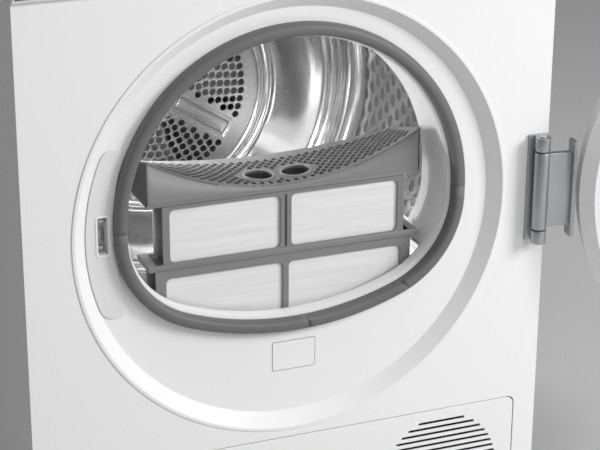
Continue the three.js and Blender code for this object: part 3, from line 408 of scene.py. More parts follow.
# thick pressed sheet keeps flatter than the drum's wall, so its reflections are calmer
stampedSteel = sheetMetal("stampedStainless", "#d2d2d2", 0.24, 90, 0.2, 0.01)
# dull steels behind the drum's holes, darkened as painted shade, dim enough to make the holes read as deep
paintedShadeSteel = sheetMetal("pressedStainlessPaintedShade", "#858585", 0.4, 25, 0.2, 0.08)
paintedShadeSheet = sheetMetal("galvanisedPaintedShade", "#6c6c6d", 0.55, 30, 0.2, 0.08)
net = filterNet()
glass = smokedGlass()
print("materials made")

# nodes that keep their own shape and only take a material
carried = {
    enamel: ["left_side_panel", "right_side_panel", "front_panel"],
    galvanised: ["rear_panel", "front_bulkhead", "latch_cup", "tension_arm"],
    # the rear bulkhead is darkened as painted shade where it shows through the drum's holes
    paintedShadeSheet: ["rear_bulkhead"],
    darkPlastic: ["fan_wheel", "tension_pulley", "condensate_pump"],
    rubberBlack: ["drum_belt"], turnedSteel: ["drum_shaft", "motor_pulley", "hinge_pin"],
    motorPaint: ["motor"], finAluminium: ["evaporator", "condenser"], copperTube: ["refrigerant_pipe"],
    bearingBronze: ["bearing_bush"], boardResin: ["control_board"], woolFelt: ["drum_seal"],
    collarPlastic: ["filter_duct", "lifter_1", "lifter_2", "lifter_3"],
    net: ["filter_front_mesh", "filter_rear_mesh"],
}
for material, nodes in carried.items():
    for node in nodes:
        frame["nodes"][node].data.materials.clear()
        frame["nodes"][node].data.materials.append(material)


# ---- the door opening ----------------------------------------------------------------------

opening = {"half": 0.2005, "top": 0.2145, "bottom": -0.131, "bottomRadius": 0.346, "cornerRadius": 0.119,
           "topSteps": 72, "bottomSteps": 36, "cornerSteps": 20}


def openingOutline(inset=0.0):
    # round above and a shallow arc below, joined by corner arcs
    half, cornerRadius = opening["half"], opening["cornerRadius"]
    lowZ = ringZ + opening["bottom"] + opening["bottomRadius"]
    cornerX = half - cornerRadius
    cornerZ = lowZ - sqrt((opening["bottomRadius"] - cornerRadius) ** 2 - cornerX ** 2)
    meet = atan2(cornerZ - lowZ, cornerX)
    top = arc(ringX, ringZ + opening["top"] - half, half - inset, 0, pi, opening["topSteps"])
    left = arc(ringX - cornerX, cornerZ, cornerRadius - inset, pi, 2 * pi - (pi + meet),
               opening["cornerSteps"])
    low = arc(ringX, lowZ, opening["bottomRadius"] - inset, pi - meet, 2 * pi + meet, opening["bottomSteps"])
    right = arc(ringX + cornerX, cornerZ, cornerRadius - inset, 2 * pi + meet, 2 * pi,
                opening["cornerSteps"])
    return top + left[1:] + low[1:] + right[1:-1]


recess = {"rim": 0.245, "floorRadius": 0.2306, "floor": 0.013, "wall": 0.002, "lip": 0.0012,
          "fillet": 0.0016, "mouth": 0.0156}
latch = {"near": 0.0112, "far": 0.0126, "holeX": -0.2115, "holeZ": 0.007, "holeWide": 0.011,
         "holeTall": 0.041, "frame": 0.0022, "proud": 0.0008, "pocketNear": 0.0152, "pocketBack": 0.0285,
         "pocketEnd": 0.030, "keeperNear": 0.0172, "keeperFar": 0.0242, "keeperLow": 0.0128,
         "keeperHigh": 0.0166}


def latchHole(grow=0.0):
    x, z = ringX + latch["holeX"], ringZ + latch["holeZ"]
    wide, tall = latch["holeWide"] / 2 + grow, latch["holeTall"] / 2 + grow
    return roundedBox(x - wide, x + wide, z - tall, z + tall, 0.0012 + grow)


def makeRecess():
    r = recess
    outlines = [circle(r["floorRadius"] + 0.001, 240), openingOutline(r["mouth"]), latchHole()]
    floor = cutPlate("recess_floor", outlines, r["floor"], r["floor"] + r["wall"], 0.0006)
    bevel = spinRound("recess_bevel", [
        (r["floorRadius"] - 0.001, r["floor"] - 0.00002), (r["floorRadius"] - 0.0002, r["floor"] - 0.00002),
        (r["rim"] - 0.0006, -r["lip"]), (r["rim"] + 0.003, -r["lip"]), (r["rim"] + 0.003, -0.0003),
        (r["rim"], -0.0003), (r["floorRadius"] + 0.0025, r["floor"] + r["wall"]),
        (r["floorRadius"] - 0.001, r["floor"] + r["wall"])], 240)
    softEdges(bevel, r["fillet"] / 2, 4, 25)
    fit(floor, "cabinet", whiteAbs, "white_plastic", "door_recess")
    fit(bevel, "cabinet", whiteAbs, "white_plastic")


gasket = {"width": 0.0138, "crown": -0.0003, "foot": 0.0126, "seamDeep": 0.0122, "seamWide": 0.00025,
          "seamReach": 0.014,
          "seams": [(-0.1935, 0.010), (0.1985, 0.013), (0.132, -0.098), (0.014, -0.124)]}


def makeGasket():
    g = gasket
    w, top, foot = g["width"], g["crown"], g["foot"]
    section = [(0.0, foot), (0.0, 0.0075), (0.0004, 0.0042), (0.0014, 0.0020), (0.0030, 0.0006),
               (0.0052, top), (0.0098, top), (0.0118, 0.0006), (0.0130, 0.0022), (w - 0.0002, 0.0048),
               (w, 0.0085), (w, foot)]
    piece = sweepRound("door_gasket_bulb", openingOutline(), section, 50)
    slits = []
    for x, z in g["seams"]:
        # each joint line crosses the gasket at right angles to its run
        reach = sqrt(x * x + z * z)
        slit = cube("seam_tool", -g["seamReach"], g["seamReach"], g["crown"] - 0.003,
                    g["crown"] + g["seamDeep"], -g["seamWide"] / 2, g["seamWide"] / 2)
        slit.rotation_euler.y = -atan2(z, x)
        slit.location = (ringX + x * (1 - 0.004 / reach), 0, ringZ + z * (1 - 0.004 / reach))
        slits.append(slit)
    cutAway(piece, *slits)
    fit(piece, "cabinet", gasketRubber, "rubber_grey", "door_gasket")


collar = {"inset": 0.0145, "wall": 0.0024, "front": 0.0154, "back": 0.080}


def makeCollar():
    c = collar
    a, b = c["inset"], c["inset"] + c["wall"]
    section = [(a, c["front"]), (b - 0.0004, c["front"]), (b, c["front"] + 0.0008),
               (b + 0.0004, c["front"] + 0.012), (b + 0.0004, c["back"] - 0.010), (b, c["back"] - 0.004),
               (b, c["back"]), (a, c["back"])]
    piece = sweepRound("opening_collar_moulded", openingOutline(), section, 45)
    low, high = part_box("filter_cap")
    # the filter passes through a slot in the collar's floor
    slot = cube("slot_tool", low[0] - 0.003, high[0] + 0.003, low[1] - panelFace - 0.003,
                high[1] - panelFace + 0.012, ringZ - 0.2, ringZ - 0.04)
    cutAway(piece, slot)
    fit(piece, "cabinet", collarPlastic, "duct_plastic", "opening_collar")


def makeLatch():
    h = latch
    rim = recess["floorRadius"] - 0.0006
    top = [(-0.1935, 0.072), (-0.1890, 0.086), (-0.1866, 0.0945), (-0.1885, 0.0985), (-0.1935, 0.0997),
           (-0.2000, 0.0998), (-0.2060, 0.0975)]
    low = [(-0.2135, -0.0820), (-0.2085, -0.0862), (-0.2020, -0.0875), (-0.1950, -0.0868),
           (-0.1905, -0.0835), (-0.1888, -0.0780), (-0.1905, -0.0660), (-0.1935, -0.0510),
           (-0.1965, -0.0280), (-0.1985, 0.0), (-0.1989, 0.0245), (-0.1972, 0.050)]
    outer = arc(0.0, 0.0, rim, radians(156.2), radians(199.6), 26)
    outline = [(ringX + x, ringZ + z) for x, z in top + outer + low]
    plate = cutPlate("latch_plate_trim", [outline, latchHole()], h["near"], h["far"], 0.0004)
    fit(plate, "cabinet", latchPlastic, "latch_plastic", "latch_plate")
    edge = cutPlate("latch_hole_frame", [latchHole(h["frame"]), latchHole()], h["near"] - h["proud"],
                    h["near"] + 0.0004, 0.0003)
    fit(edge, "cabinet", whiteAbs, "white_plastic")
    # behind the hole is a lined pocket, with the strike at its back and keepers above and below
    near, end = h["pocketNear"], h["pocketEnd"]
    lining = sweepRound("latch_pocket_lining", latchHole(), [
        (-0.0006, near), (0.0, near), (0.0, end), (-0.0006, end)])
    back = cutPlate("latch_pocket_back", [latchHole(-0.0001)], h["pocketBack"], h["pocketBack"] + 0.001)
    fit(joined("latch_pocket", lining, back), "cabinet", whiteAbs, "white_plastic")
    x, z = ringX + h["holeX"], ringZ + h["holeZ"]
    bar = cube("latch_strike", x - 0.0012, x + 0.0048, 0.0266, 0.0282, z - 0.010, z + 0.004, 0.0006)
    catch = cube("latch_keeper", x - 0.0046, x + 0.0046, h["keeperNear"], h["keeperFar"],
                 z + h["keeperLow"], z + h["keeperHigh"], 0.0006)
    foot = cube("latch_foot", x - 0.0046, x + 0.0020, h["keeperNear"], h["keeperFar"],
                z - h["keeperHigh"], z - h["keeperLow"], 0.0006)
    fit(joined("latch_catch", bar, catch, foot), "cabinet", turnedSteel, "machined_steel")


cover = {"left": -0.024, "right": 0.027, "high": -0.146, "low": -0.181, "radius": 0.002, "line": 0.0007,
         "proud": 0.0003}


def makeLabelCover():
    c = cover
    floor = recess["floor"]
    w = c["line"]
    left, right, low, high = ringX + c["left"], ringX + c["right"], ringZ + c["low"], ringZ + c["high"]
    frameLine = roundedBox(left, right, low, high, c["radius"])
    inner = roundedBox(left + w, right - w, low + w, high - w, c["radius"] - w)
    border = cutPlate("label_cover_border", [frameLine, inner], floor - c["proud"] / 2, floor + 0.0002)
    plate = cutPlate("label_cover", [inner], floor - c["proud"], floor + 0.0002, 0.00012)
    fit(border, "cabinet", filterPlastic, "filter_plastic")
    fit(plate, "cabinet", whiteAbs, "white_plastic")


makeRecess()
makeGasket()
makeCollar()
makeLatch()
makeLabelCover()
print("door opening made")


# ---- drum ----------------------------------------------------------------------------------

drum = {"radius": 0.285, "front": 0.089, "mouth": 0.226, "back": 0.490, "dropBack": 0.470, "columns": 16,
        "columnStep": 0.0163, "rowStep": 0.0277, "dropTall": 0.0172, "dropWide": 0.0130, "sheet": 0.0006,
        "sleeve": 0.0010, "sleeveWall": 0.0006}


def makeDropTile(step):
    # one square of the sheet, with a hole that is round below and pointed above
    d = drum
    half, wide, r = step / 2, d["columnStep"] / 2, d["dropWide"] / 2
    low, high = r - d["dropTall"] / 2, d["dropTall"] / 2
    shoulder = low + 0.42 * (high - low)
    square = [(-wide, -half), (wide, -half), (wide, 0.0), (wide, half), (-wide, half), (-wide, 0.0)]
    hole = arc(0, low, r, pi, 2 * pi, 8) + [(0.74 * r, shoulder), (0.0, high), (-0.74 * r, shoulder)]
    tile = drawFlat("drop_tile", [square, hole])
    pickOnly(tile)
    bpy.ops.object.convert(target="MESH")
    return bpy.context.object


def makeDropBand():
    # a pair of staggered tiles is repeated along and round the drum, then rolled up
    d = drum
    rows = round(2 * pi * d["radius"] / d["rowStep"])
    step = 2 * pi * d["radius"] / rows
    first, second = makeDropTile(step), makeDropTile(step)
    second.location = (d["columnStep"], step / 2, 0)
    band = joined("drum_drop_band", first, second)
    modify(band, "ARRAY", count=rows, use_relative_offset=False, use_constant_offset=True,
           constant_offset_displace=(0, step, 0))
    modify(band, "ARRAY", count=d["columns"] // 2, use_relative_offset=False, use_constant_offset=True,
           constant_offset_displace=(2 * d["columnStep"], 0, 0))
    for vertex in band.data.vertices:
        back, turn = vertex.co.x + d["columnStep"] / 2, vertex.co.y / d["radius"]
        r = d["radius"] + d["sheet"] / 2
        vertex.co = (ringX + r * cos(turn), depth(d["dropBack"] - back), ringZ + r * sin(turn))
    tidy(band, 40, 0.00002)
    modify(band, "SOLIDIFY", thickness=d["sheet"], offset=0)
    fit(tidy(band, 40), "drum", stainless, "drum_steel")


def makeDrumShell():
    d = drum
    front = d["dropBack"] - d["columns"] * d["columnStep"]

    def sheet(name, line):
        # a line of (radius, depth) pairs, given the sheet's thickness on its outer side
        outside = [(r + 0.8 * d["sheet"], y - 0.6 * d["sheet"] if y < 0.15 else y) for r, y in reversed(line)]
        return spinRound(name, line + outside, 260, smooth=40)

    mouth = sheet("drum_mouth_flare", [
        (d["mouth"], d["front"] + 0.003), (d["mouth"] + 0.0012, d["front"] + 0.001),
        (d["mouth"] + 0.004, d["front"] + 0.0008), (d["mouth"] + 0.010, d["front"] + 0.004),
        (d["radius"] - 0.022, d["front"] + 0.036),
        (d["radius"] - 0.008, d["front"] + 0.050), (d["radius"] - 0.002, d["front"] + 0.060),
        (d["radius"], d["front"] + 0.072), (d["radius"], front)])
    tail = sheet("drum_tail_band", [(d["radius"], d["dropBack"]), (d["radius"], d["back"] - 0.008)])
    fit(mouth, "drum", stainless, "drum_steel", "drum_shell")
    fit(tail, "drum", stainless, "drum_steel")
    # the pressed pockets end on a sleeve behind the sheet, standing for their floors; its dull, dark steel is
    # painted shade for the pockets' depth
    inner, outer = d["radius"] + d["sleeve"], d["radius"] + d["sleeve"] + d["sleeveWall"]
    sleeve = spinRound("drum_pocket_sleeve", [(inner, front), (outer, front), (outer, d["dropBack"]),
                                              (inner, d["dropBack"])], 260)
    fit(sleeve, "drum", paintedShadeSteel, "drum_steel")


# each border is (inner end, outer end, half width, line width, height), and the last is a full plate
rearWall = {"plate": 0.136, "holeRadius": 0.0044, "holeStep": 0.0112, "ringStep": 0.0097, "outerRing": 0.115,
            "innerRing": 0.030, "spokes": [-33, 87, 207], "spokeHalf": 0.021, "face": 0.484,
            "borders": [(0.024, 0.1165, 0.0145, 0.0030, 0.0032), (0.0295, 0.111, 0.0092, 0.0026, 0.0030),
                        (0.0335, 0.107, 0.0054, 0.0, 0.0012)]}


def rearHoles():
    # concentric rows of round holes, left out along the three spokes
    w = rearWall
    holes = []
    radius, row = w["outerRing"], 0
    while radius > w["innerRing"]:
        count = round(2 * pi * radius / w["holeStep"] / 3) * 3
        for k in range(count):
            angle = 2 * pi * (k + 0.5 * (row % 2)) / count + radians(w["spokes"][0])
            x, z = radius * cos(angle), radius * sin(angle)
            clear = True
            for spoke in w["spokes"]:
                along = x * cos(radians(spoke)) + z * sin(radians(spoke))
                across = abs(z * cos(radians(spoke)) - x * sin(radians(spoke)))
                if along > 0 and across < w["spokeHalf"]:
                    clear = False
            if clear:
                holes.append(circle(w["holeRadius"], 14, ringX + x, ringZ + z))
        radius -= w["ringStep"]
        row += 1
    return holes


def turnedOutline(outline, angle):
    c, s = cos(angle), sin(angle)
    return [(ringX + x * c - z * s, ringZ + x * s + z * c) for x, z in outline]


def makeRearWall():
    w = rearWall
    face = w["face"]
    plate = cutPlate("drum_rear_perforated", [circle(w["plate"], 160)] + rearHoles(), face, face + 0.0014,
                     0.0004, edgeSteps=1)
    fit(plate, "drum", stampedSteel, "drum_steel", "drum_rear_wall")
    # two pressed beads, a shallow dish, three finer beads, and the turn up to the drum's wall
    beads = spinRound("drum_rear_beads", [
        (0.1355, 0.4838), (0.139, 0.4838), (0.1405, 0.4822), (0.143, 0.4812), (0.1455, 0.4822),
        (0.1475, 0.4852), (0.150, 0.4856), (0.152, 0.4828), (0.155, 0.4814), (0.158, 0.4828),
        (0.1605, 0.4862), (0.168, 0.4878), (0.182, 0.4884), (0.200, 0.4884), (0.216, 0.4874),
        (0.228, 0.4846), (0.2325, 0.4842), (0.2345, 0.4815), (0.237, 0.4802), (0.2395, 0.4815),
        (0.241, 0.484), (0.2428, 0.4842), (0.2445, 0.482), (0.247, 0.4808), (0.2495, 0.482),
        (0.251, 0.4845), (0.253, 0.4845), (0.2548, 0.483), (0.257, 0.4822), (0.2592, 0.483),
        (0.262, 0.485), (0.270, 0.484), (0.2775, 0.480), (0.2825, 0.4735), (0.2848, 0.467)],
        300, closed=False, smooth=50)
    modify(beads, "SUBSURF", levels=1, render_levels=1)
    fit(beads, "drum", stainless, "drum_steel")
    # each spoke carries a pressed rectangle inside two raised borders
    for number, spoke in enumerate(w["spokes"]):
        for step, (inner, outer, half, line, proud) in enumerate(w["borders"]):
            outlines = [turnedOutline(roundedBox(inner, outer, -half, half, 0.003, 5), radians(spoke))]
            if line:
                inside = roundedBox(inner + line, outer - line, line - half, half - line, 0.0015, 5)
                outlines.append(turnedOutline(inside, radians(spoke)))
            rib = cutPlate(f"spoke_{number + 1}_border_{step + 1}", outlines, face - proud, face + 0.0004,
                           0.0008)
            # the middle border takes the darkened steel, a painted shade line along the raised rectangle
            fit(rib, "drum", paintedShadeSteel if step == 1 else stampedSteel, "drum_steel")
    hub = spinRound("drum_hub", [(0.0, 0.4815), (0.014, 0.4815), (0.0165, 0.4825), (0.018, 0.4842),
                                 (0.0, 0.4845)], 72, closed=False)
    fit(hub, "drum", stainless, "drum_steel")


makeDropBand()
makeDrumShell()
makeRearWall()
print("drum made")


# ---- lint filter ---------------------------------------------------------------------------

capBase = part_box("filter_cap")[0][2]
filterCap = {"half": 0.157, "front": 0.032, "back": 0.110, "rise": 0.046, "backRise": 0.014,
             "backLift": 0.008, "wall": 0.0022, "cell": 0.0098, "rib": 0.0021, "rim": 0.0035,
             "fingerX": 0.0215, "fingerDepth": 0.060, "fingerWide": 0.0168, "fingerLong": 0.0125,
             "fingerMargin": 0.0065, "rimTurns": 44, "rimGap": 0.0002, "base": capBase, "low": capBase + 0.007}


def capHeight(x, d):
    # the cap's top bends more along its front than along its back
    c = filterCap
    u, v = (x - ringX) / c["half"], (d - c["front"]) / (c["back"] - c["front"])
    front = c["low"] + c["rise"] * u * u
    back = c["low"] + c["backLift"] + c["backRise"] * u * u
    return front + (back - front) * v


def spread(points, step):
    # puts extra points along an outline, so that it can follow a bend
    fine = []
    for (x0, z0), (x1, z1) in zip(points, points[1:] + points[:1]):
        count = max(1, ceil(sqrt((x1 - x0) ** 2 + (z1 - z0) ** 2) / step))
        fine += [(x0 + (x1 - x0) * k / count, z0 + (z1 - z0) * k / count) for k in range(count)]
    return fine


def bentPlate(name, inset, drop, thick):
    # a fine grid bent to the cap's top, then given its thickness
    c = filterCap
    wide, deep = 2 * (c["half"] - inset), c["back"] - c["front"] - 2 * inset
    bpy.ops.object.select_all(action="DESELECT")
    bpy.ops.mesh.primitive_grid_add(x_subdivisions=72, y_subdivisions=14, size=1,
                                    location=(ringX, depth((c["front"] + c["back"]) / 2), 0))
    piece = bpy.context.object
    piece.name = name
    piece.scale = (wide, deep, 1)
    bpy.ops.object.transform_apply(location=True, rotation=True, scale=True)
    for vertex in piece.data.vertices:
        vertex.co.z = capHeight(vertex.co.x, vertex.co.y - panelFace) - drop
    return modify(piece, "SOLIDIFY", thickness=thick, offset=-1)


def makeFilterCap():
    c = filterCap
    fingers = [(ringX + side * c["fingerX"], c["fingerDepth"]) for side in (-1, 1)]

    def clear(x, d):
        # a cell is kept if it lies inside the rim and away from both finger holes
        if abs(x - ringX) > c["half"] - c["rim"] - 0.004:
            return False
        if not c["front"] + c["rim"] + 0.0035 < d < c["back"] - 0.0105:
            return False
        wide, long = c["fingerWide"] + c["fingerMargin"], c["fingerLong"] + c["fingerMargin"]
        return all(((x - fx) / wide) ** 2 + ((d - fd) / long) ** 2 > 1 for fx, fd in fingers)

    holes = []
    half = c["cell"] / 2
    reach = half - c["rib"] / 2
    for row in range(int((c["back"] - c["front"]) / half)):
        for column in range(-18, 19):
            x = ringX + column * c["cell"] + (half if row % 2 else 0.0)
            d = c["front"] + 0.004 + row * half
            if clear(x, d):
                holes.append([(x + reach, d), (x, d + reach), (x - reach, d), (x, d - reach)])
    holes += [[(fx + c["fingerWide"] * cos(2 * pi * k / 28), fd + c["fingerLong"] * sin(2 * pi * k / 28))
               for k in range(28)] for fx, fd in fingers]
    cutter = drawFlat("filter_cap_cutter", holes, 0.2)
    cutter.location = (0, panelFace, c["low"])
    pickOnly(cutter)
    bpy.ops.object.convert(target="MESH")
    cutter = tidy(bpy.context.object)
    lattice = bentPlate("filter_cap_lattice", 0.0, 0.0, c["wall"])
    modify(lattice, "BOOLEAN", operation="DIFFERENCE", solver="MANIFOLD", object=cutter)
    bpy.data.objects.remove(cutter)
    tidy(lattice)
    fit(lattice, "lint_filter", latticePlastic, "filter_plastic", "filter_cap")

    # the four walls under the lattice, drawn as one loop and pulled up to the bent top
    loop = spread(roundedBox(ringX - c["half"], ringX + c["half"], c["front"], c["back"], 0.003, 4), 0.006)
    walls = drawLine("filter_cap_walls", [(x, depth(d), c["base"]) for x, d in loop], True)
    bpy.ops.mesh.extrude_region_move(TRANSFORM_OT_translate={"value": (0, 0, 0.003)})
    bpy.ops.mesh.extrude_region_move(TRANSFORM_OT_translate={"value": (0, 0, 0.05)})
    bpy.ops.object.mode_set(mode="OBJECT")
    bpy.ops.object.transform_apply(location=True, rotation=True, scale=True)
    for vertex in walls.data.vertices:
        if vertex.co.z > c["base"] + 0.02:
            vertex.co.z = capHeight(vertex.co.x, vertex.co.y - panelFace) - 0.0004
    tidy(walls, 40)
    modify(walls, "SOLIDIFY", thickness=c["wall"], offset=-1)
    fit(walls, "lint_filter", filterPlastic, "filter_plastic")
    lip = cube("filter_cap_lip", ringX - c["half"], ringX + c["half"], c["front"] - 0.0009,
               c["front"] + 0.0006, c["base"] + 0.0002, c["base"] + 0.0036, 0.0005)
    fit(lip, "lint_filter", filterPlastic, "filter_plastic")

    # the cap's ends take painted shade, a near-black plastic darker than its face
    near, far = depth(c["front"] + 0.0008), depth(c["back"] - 0.0008)
    line = [(near, c["base"] + 0.0006), (far, c["base"] + 0.0006),
            (far, capHeight(ringX + c["half"], c["back"]) - 0.0015),
            (near, capHeight(ringX + c["half"], c["front"]) - 0.0015)]
    for side in (-1, 1):
        cheek = drawFlat("filter_cap_cheek", [line], 0.0004)
        cheek.rotation_euler = (pi / 2, 0, pi / 2)
        cheek.location.x = ringX + side * (c["half"] + 0.0001)
        pickOnly(cheek)
        bpy.ops.object.convert(target="MESH")
        fit(tidy(bpy.context.object), "lint_filter", filterPaintedShade, "filter_plastic")

    # a near-black inner tray closes the lattice from below as painted shade behind its holes, and rims edge
    # the finger holes
    tray = bentPlate("filter_cap_tray", 0.0026, 0.0085, 0.001)
    fit(tidy(tray), "lint_filter", filterPaintedShade, "filter_plastic")
    wide, long = c["fingerWide"] + c["rimGap"], c["fingerLong"] + c["rimGap"]
    angles = [2 * pi * k / c["rimTurns"] for k in range(c["rimTurns"])]
    for number, (fx, fd) in enumerate(fingers):
        rim = drawLine(f"finger_rim_{number + 1}", [
            (fx + wide * cos(angle), depth(fd + long * sin(angle)), capHeight(fx, fd) + 0.0008)
            for angle in angles], True)
        bpy.ops.object.mode_set(mode="OBJECT")
        bpy.ops.object.transform_apply(location=True, rotation=True, scale=True)
        for vertex in rim.data.vertices:
            vertex.co.z = capHeight(vertex.co.x, vertex.co.y - panelFace) + 0.0003
        pickOnly(rim)
        bpy.ops.object.convert(target="CURVE")
        rim.data.bevel_depth = 0.0013
        rim.data.bevel_resolution = 3
        bpy.ops.object.convert(target="MESH")
        tidy(bpy.context.object, 50)
        fit(bpy.context.object, "lint_filter", filterPlastic, "filter_plastic")


filterFrame = {"upHalf": 0.140, "lowHalf": 0.149, "bar": 0.013, "lowBar": 0.007, "side": 0.008,
               "sideLow": 0.012, "thick": 0.003, "body": 0.036, "radius": 0.006, "ledge": 0.007,
               "upper": 0.066, "lower": 0.084}


def frameOutlines():
    f = filterFrame
    top = filterCap["base"] - 0.0004
    ledgeTop = filterCap["base"] - f["upper"]
    ledgeLow = ledgeTop - f["ledge"]
    low = ledgeLow - f["lower"]
    up, wide = f["upHalf"], f["lowHalf"]
    edge = [(-up, top), (-up, ledgeTop), (-wide, ledgeTop), (-wide, low),
            (wide, low), (wide, ledgeTop), (up, ledgeTop), (up, top)]
    upper = (f["bar"], up, f["side"], ledgeTop + 0.001, filterCap["base"] - 0.005)
    lower = (f["lowBar"], wide, f["sideLow"], low + 0.012, ledgeLow - 0.010)
    windows = []
    for side in (-1, 1):
        for bar, half, rim, z0, z1 in (upper, lower):
            a, b = sorted((side * bar / 2, side * (half - rim)))
            windows.append(roundedBox(ringX + a, ringX + b, z0, z1, f["radius"], 6))
    return [[(ringX + x, z) for x, z in edge]] + windows, ledgeTop, ledgeLow, low, top


def makeFilterFrames():
    f = filterFrame
    outlines, ledgeTop, ledgeLow, low, top = frameOutlines()
    d0 = filterCap["front"]
    face = cutPlate("filter_front_face", outlines, d0 + 0.0006, d0 + f["thick"], 0.0006)
    fit(face, "lint_filter", filterPlastic, "filter_plastic", "filter_front_frame")
    # the groove along the centre bar is near-black painted shade
    groove = cube("filter_bar_groove", ringX - 0.0012, ringX + 0.0012, d0 + 0.0001, d0 + 0.001,
                  ledgeTop + 0.002, top - 0.004, 0.0003)
    fit(groove, "lint_filter", filterPaintedShade, "filter_plastic")
    rear = cutPlate("filter_rear_face", outlines, d0 + f["body"] - f["thick"], d0 + f["body"], 0.0006)
    fit(rear, "lint_filter", filterPlastic, "filter_plastic", "filter_rear_frame")
    # the frame's side walls are near-black painted shade
    walls = []
    near, far = d0 + 0.0028, d0 + f["body"] - f["thick"] - 0.0004
    for side in (-1, 1):
        for half, z0, z1 in ((f["upHalf"], ledgeTop, top), (f["lowHalf"], low, ledgeTop - 0.0002)):
            a, b = sorted((side * half, side * (half - 0.002)))
            walls.append(cube("filter_wall", ringX + a, ringX + b, near, far, z0, z1, 0.0004))
    walls.append(cube("filter_wall", ringX - f["lowHalf"] + 0.002, ringX + f["lowHalf"] - 0.002, near, far,
                      low, low + 0.002, 0.0004))
    fit(joined("filter_side_walls", *walls), "lint_filter", filterPaintedShade, "filter_plastic")
    half, back = filterCap["half"], d0 + f["body"] + 0.005
    shelf = cube("filter_ledge", ringX - half, ringX + half, d0 - 0.001, back, ledgeLow, ledgeTop, 0.0012)
    well = cube("filter_ledge_tool", ringX - f["lowHalf"] + 0.002, ringX + f["lowHalf"] - 0.002, d0 + 0.002,
                d0 + f["body"] + 0.001, ledgeLow - 0.01, ledgeTop + 0.01)
    cutAway(shelf, well)
    fit(tidy(shelf, 32), "lint_filter", filterPlastic, "filter_plastic")


makeFilterCap()
makeFilterFrames()
print("lint filter made")


# ---- service flap --------------------------------------------------------------------------

flapLow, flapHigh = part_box("service_flap")
flap = {"radius": 0.009, "edge": 0.0008, "ventX": 0.1795, "ventUp": 0.003, "ventRadius": 0.071,
        "ventPitch": 0.0072, "slot": 0.0034}


def makeFlap():
    f = flap
    outline = roundedBox(flapLow[0], flapHigh[0], flapLow[2], flapHigh[2], f["radius"])
    slots = []
    rows = int(f["ventRadius"] / f["ventPitch"])
    for k in range(-rows, rows + 1):
        # the rows' ends follow a circle, and a row too short for rounded ends is left out
        half = sqrt(f["ventRadius"] ** 2 - (k * f["ventPitch"]) ** 2)
        z = (flapLow[2] + flapHigh[2]) / 2 + f["ventUp"] + k * f["ventPitch"]
        if half > 1.5 * f["slot"]:
            slots.append(roundedBox(f["ventX"] - half, f["ventX"] + half, z - f["slot"] / 2,
                                    z + f["slot"] / 2, f["slot"] * 0.499, 5))
    near, far = flapLow[1] - panelFace, flapHigh[1] - panelFace
    piece = cutPlate("service_flap_moulded", [outline] + slots, near, far, f["edge"])
    fit(piece, "flap", whiteAbs, "white_plastic", "service_flap")


makeFlap()
print("service flap made")


# ---- cabinet, controls and tank ------------------------------------------------------------

finished = {                                     # node: (body, material, slot, edge radius)
    "top_panel": ("cabinet", enamel, "white_laminate", 0.0),
    "control_panel": ("cabinet", whiteAbs, "white_plastic", 0.0012),
    "display_window": ("cabinet", displayPlastic, "display_glass", 0.0003),
    "base_tray": ("cabinet", darkPlastic, "dark_plastic", 0.001),
    "rear_duct_cover": ("cabinet", galvanised, "zinc_sheet", 0.0),
    "compressor": ("cabinet", compressorPaint, "compressor_black", 0.0),
    "mains_gland": ("cabinet", darkPlastic, "dark_plastic", 0.0006),
    "hinge_bracket": ("cabinet", galvanised, "zinc_sheet", 0.0004),
    "start_button": ("start", latchPlastic, "latch_plastic", 0.0008),
    "power_button": ("power", latchPlastic, "latch_plastic", 0.0008),
    "water_tank": ("tank", linerPlastic, "liner_plastic", 0.0008),
    "tank_front": ("tank", whiteAbs, "white_plastic", 0.0012),
    "hinge_arm": ("door", galvanised, "zinc_sheet", 0.0005),
    "door_hook": ("door", turnedSteel, "zinc_sheet", 0.0005),
    "foot_1": ("front_left_foot", rubberBlack, "foot_rubber", 0.0006),
    "foot_2": ("front_right_foot", rubberBlack, "foot_rubber", 0.0006),
    "foot_3": ("rear_left_foot", rubberBlack, "foot_rubber", 0.0006),
    "foot_4": ("rear_right_foot", rubberBlack, "foot_rubber", 0.0006),
}
for node, (body, material, slot, radius) in finished.items():
    fit(softened(node, radius), body, material, slot, node)

knob = {"x": middle("program_knob")[0], "z": middle("program_knob")[2], "radius": 0.027, "front": -0.036,
        "back": -0.013, "mark": 0.0016}


def makeKnob():
    k = knob
    r = k["radius"]
    body = spinRound("program_knob_grip", [
        (0.0, k["front"] + 0.0014), (r - 0.007, k["front"] + 0.0014), (r - 0.0055, k["front"]),
        (r - 0.002, k["front"]),
        (r - 0.0008, k["front"] + 0.0012), (r - 0.0004, k["back"] - 0.002), (r, k["back"] - 0.0004),
        (0.0, k["back"] - 0.0004)], 120, k["x"], k["z"], closed=False)
    fit(body, "knob", latchPlastic, "latch_plastic", "program_knob")
    mark = cube("program_knob_mark", k["x"] - k["mark"] / 2, k["x"] + k["mark"] / 2, k["front"] + 0.0009,
                k["front"] + 0.0018, k["z"] + 0.009, k["z"] + 0.018, 0.0003)
    fit(mark, "knob", darkPlastic, "dark_plastic")


makeKnob()
print("cabinet and controls made")


# ---- door ----------------------------------------------------------------------------------

door = {"radius": 0.2429, "proud": 0.034, "window": 0.158, "inner": 0.217, "tip": 0.009, "plug": 0.019,
        "plugTip": 0.024, "wall": 0.0025, "face": -0.0006}


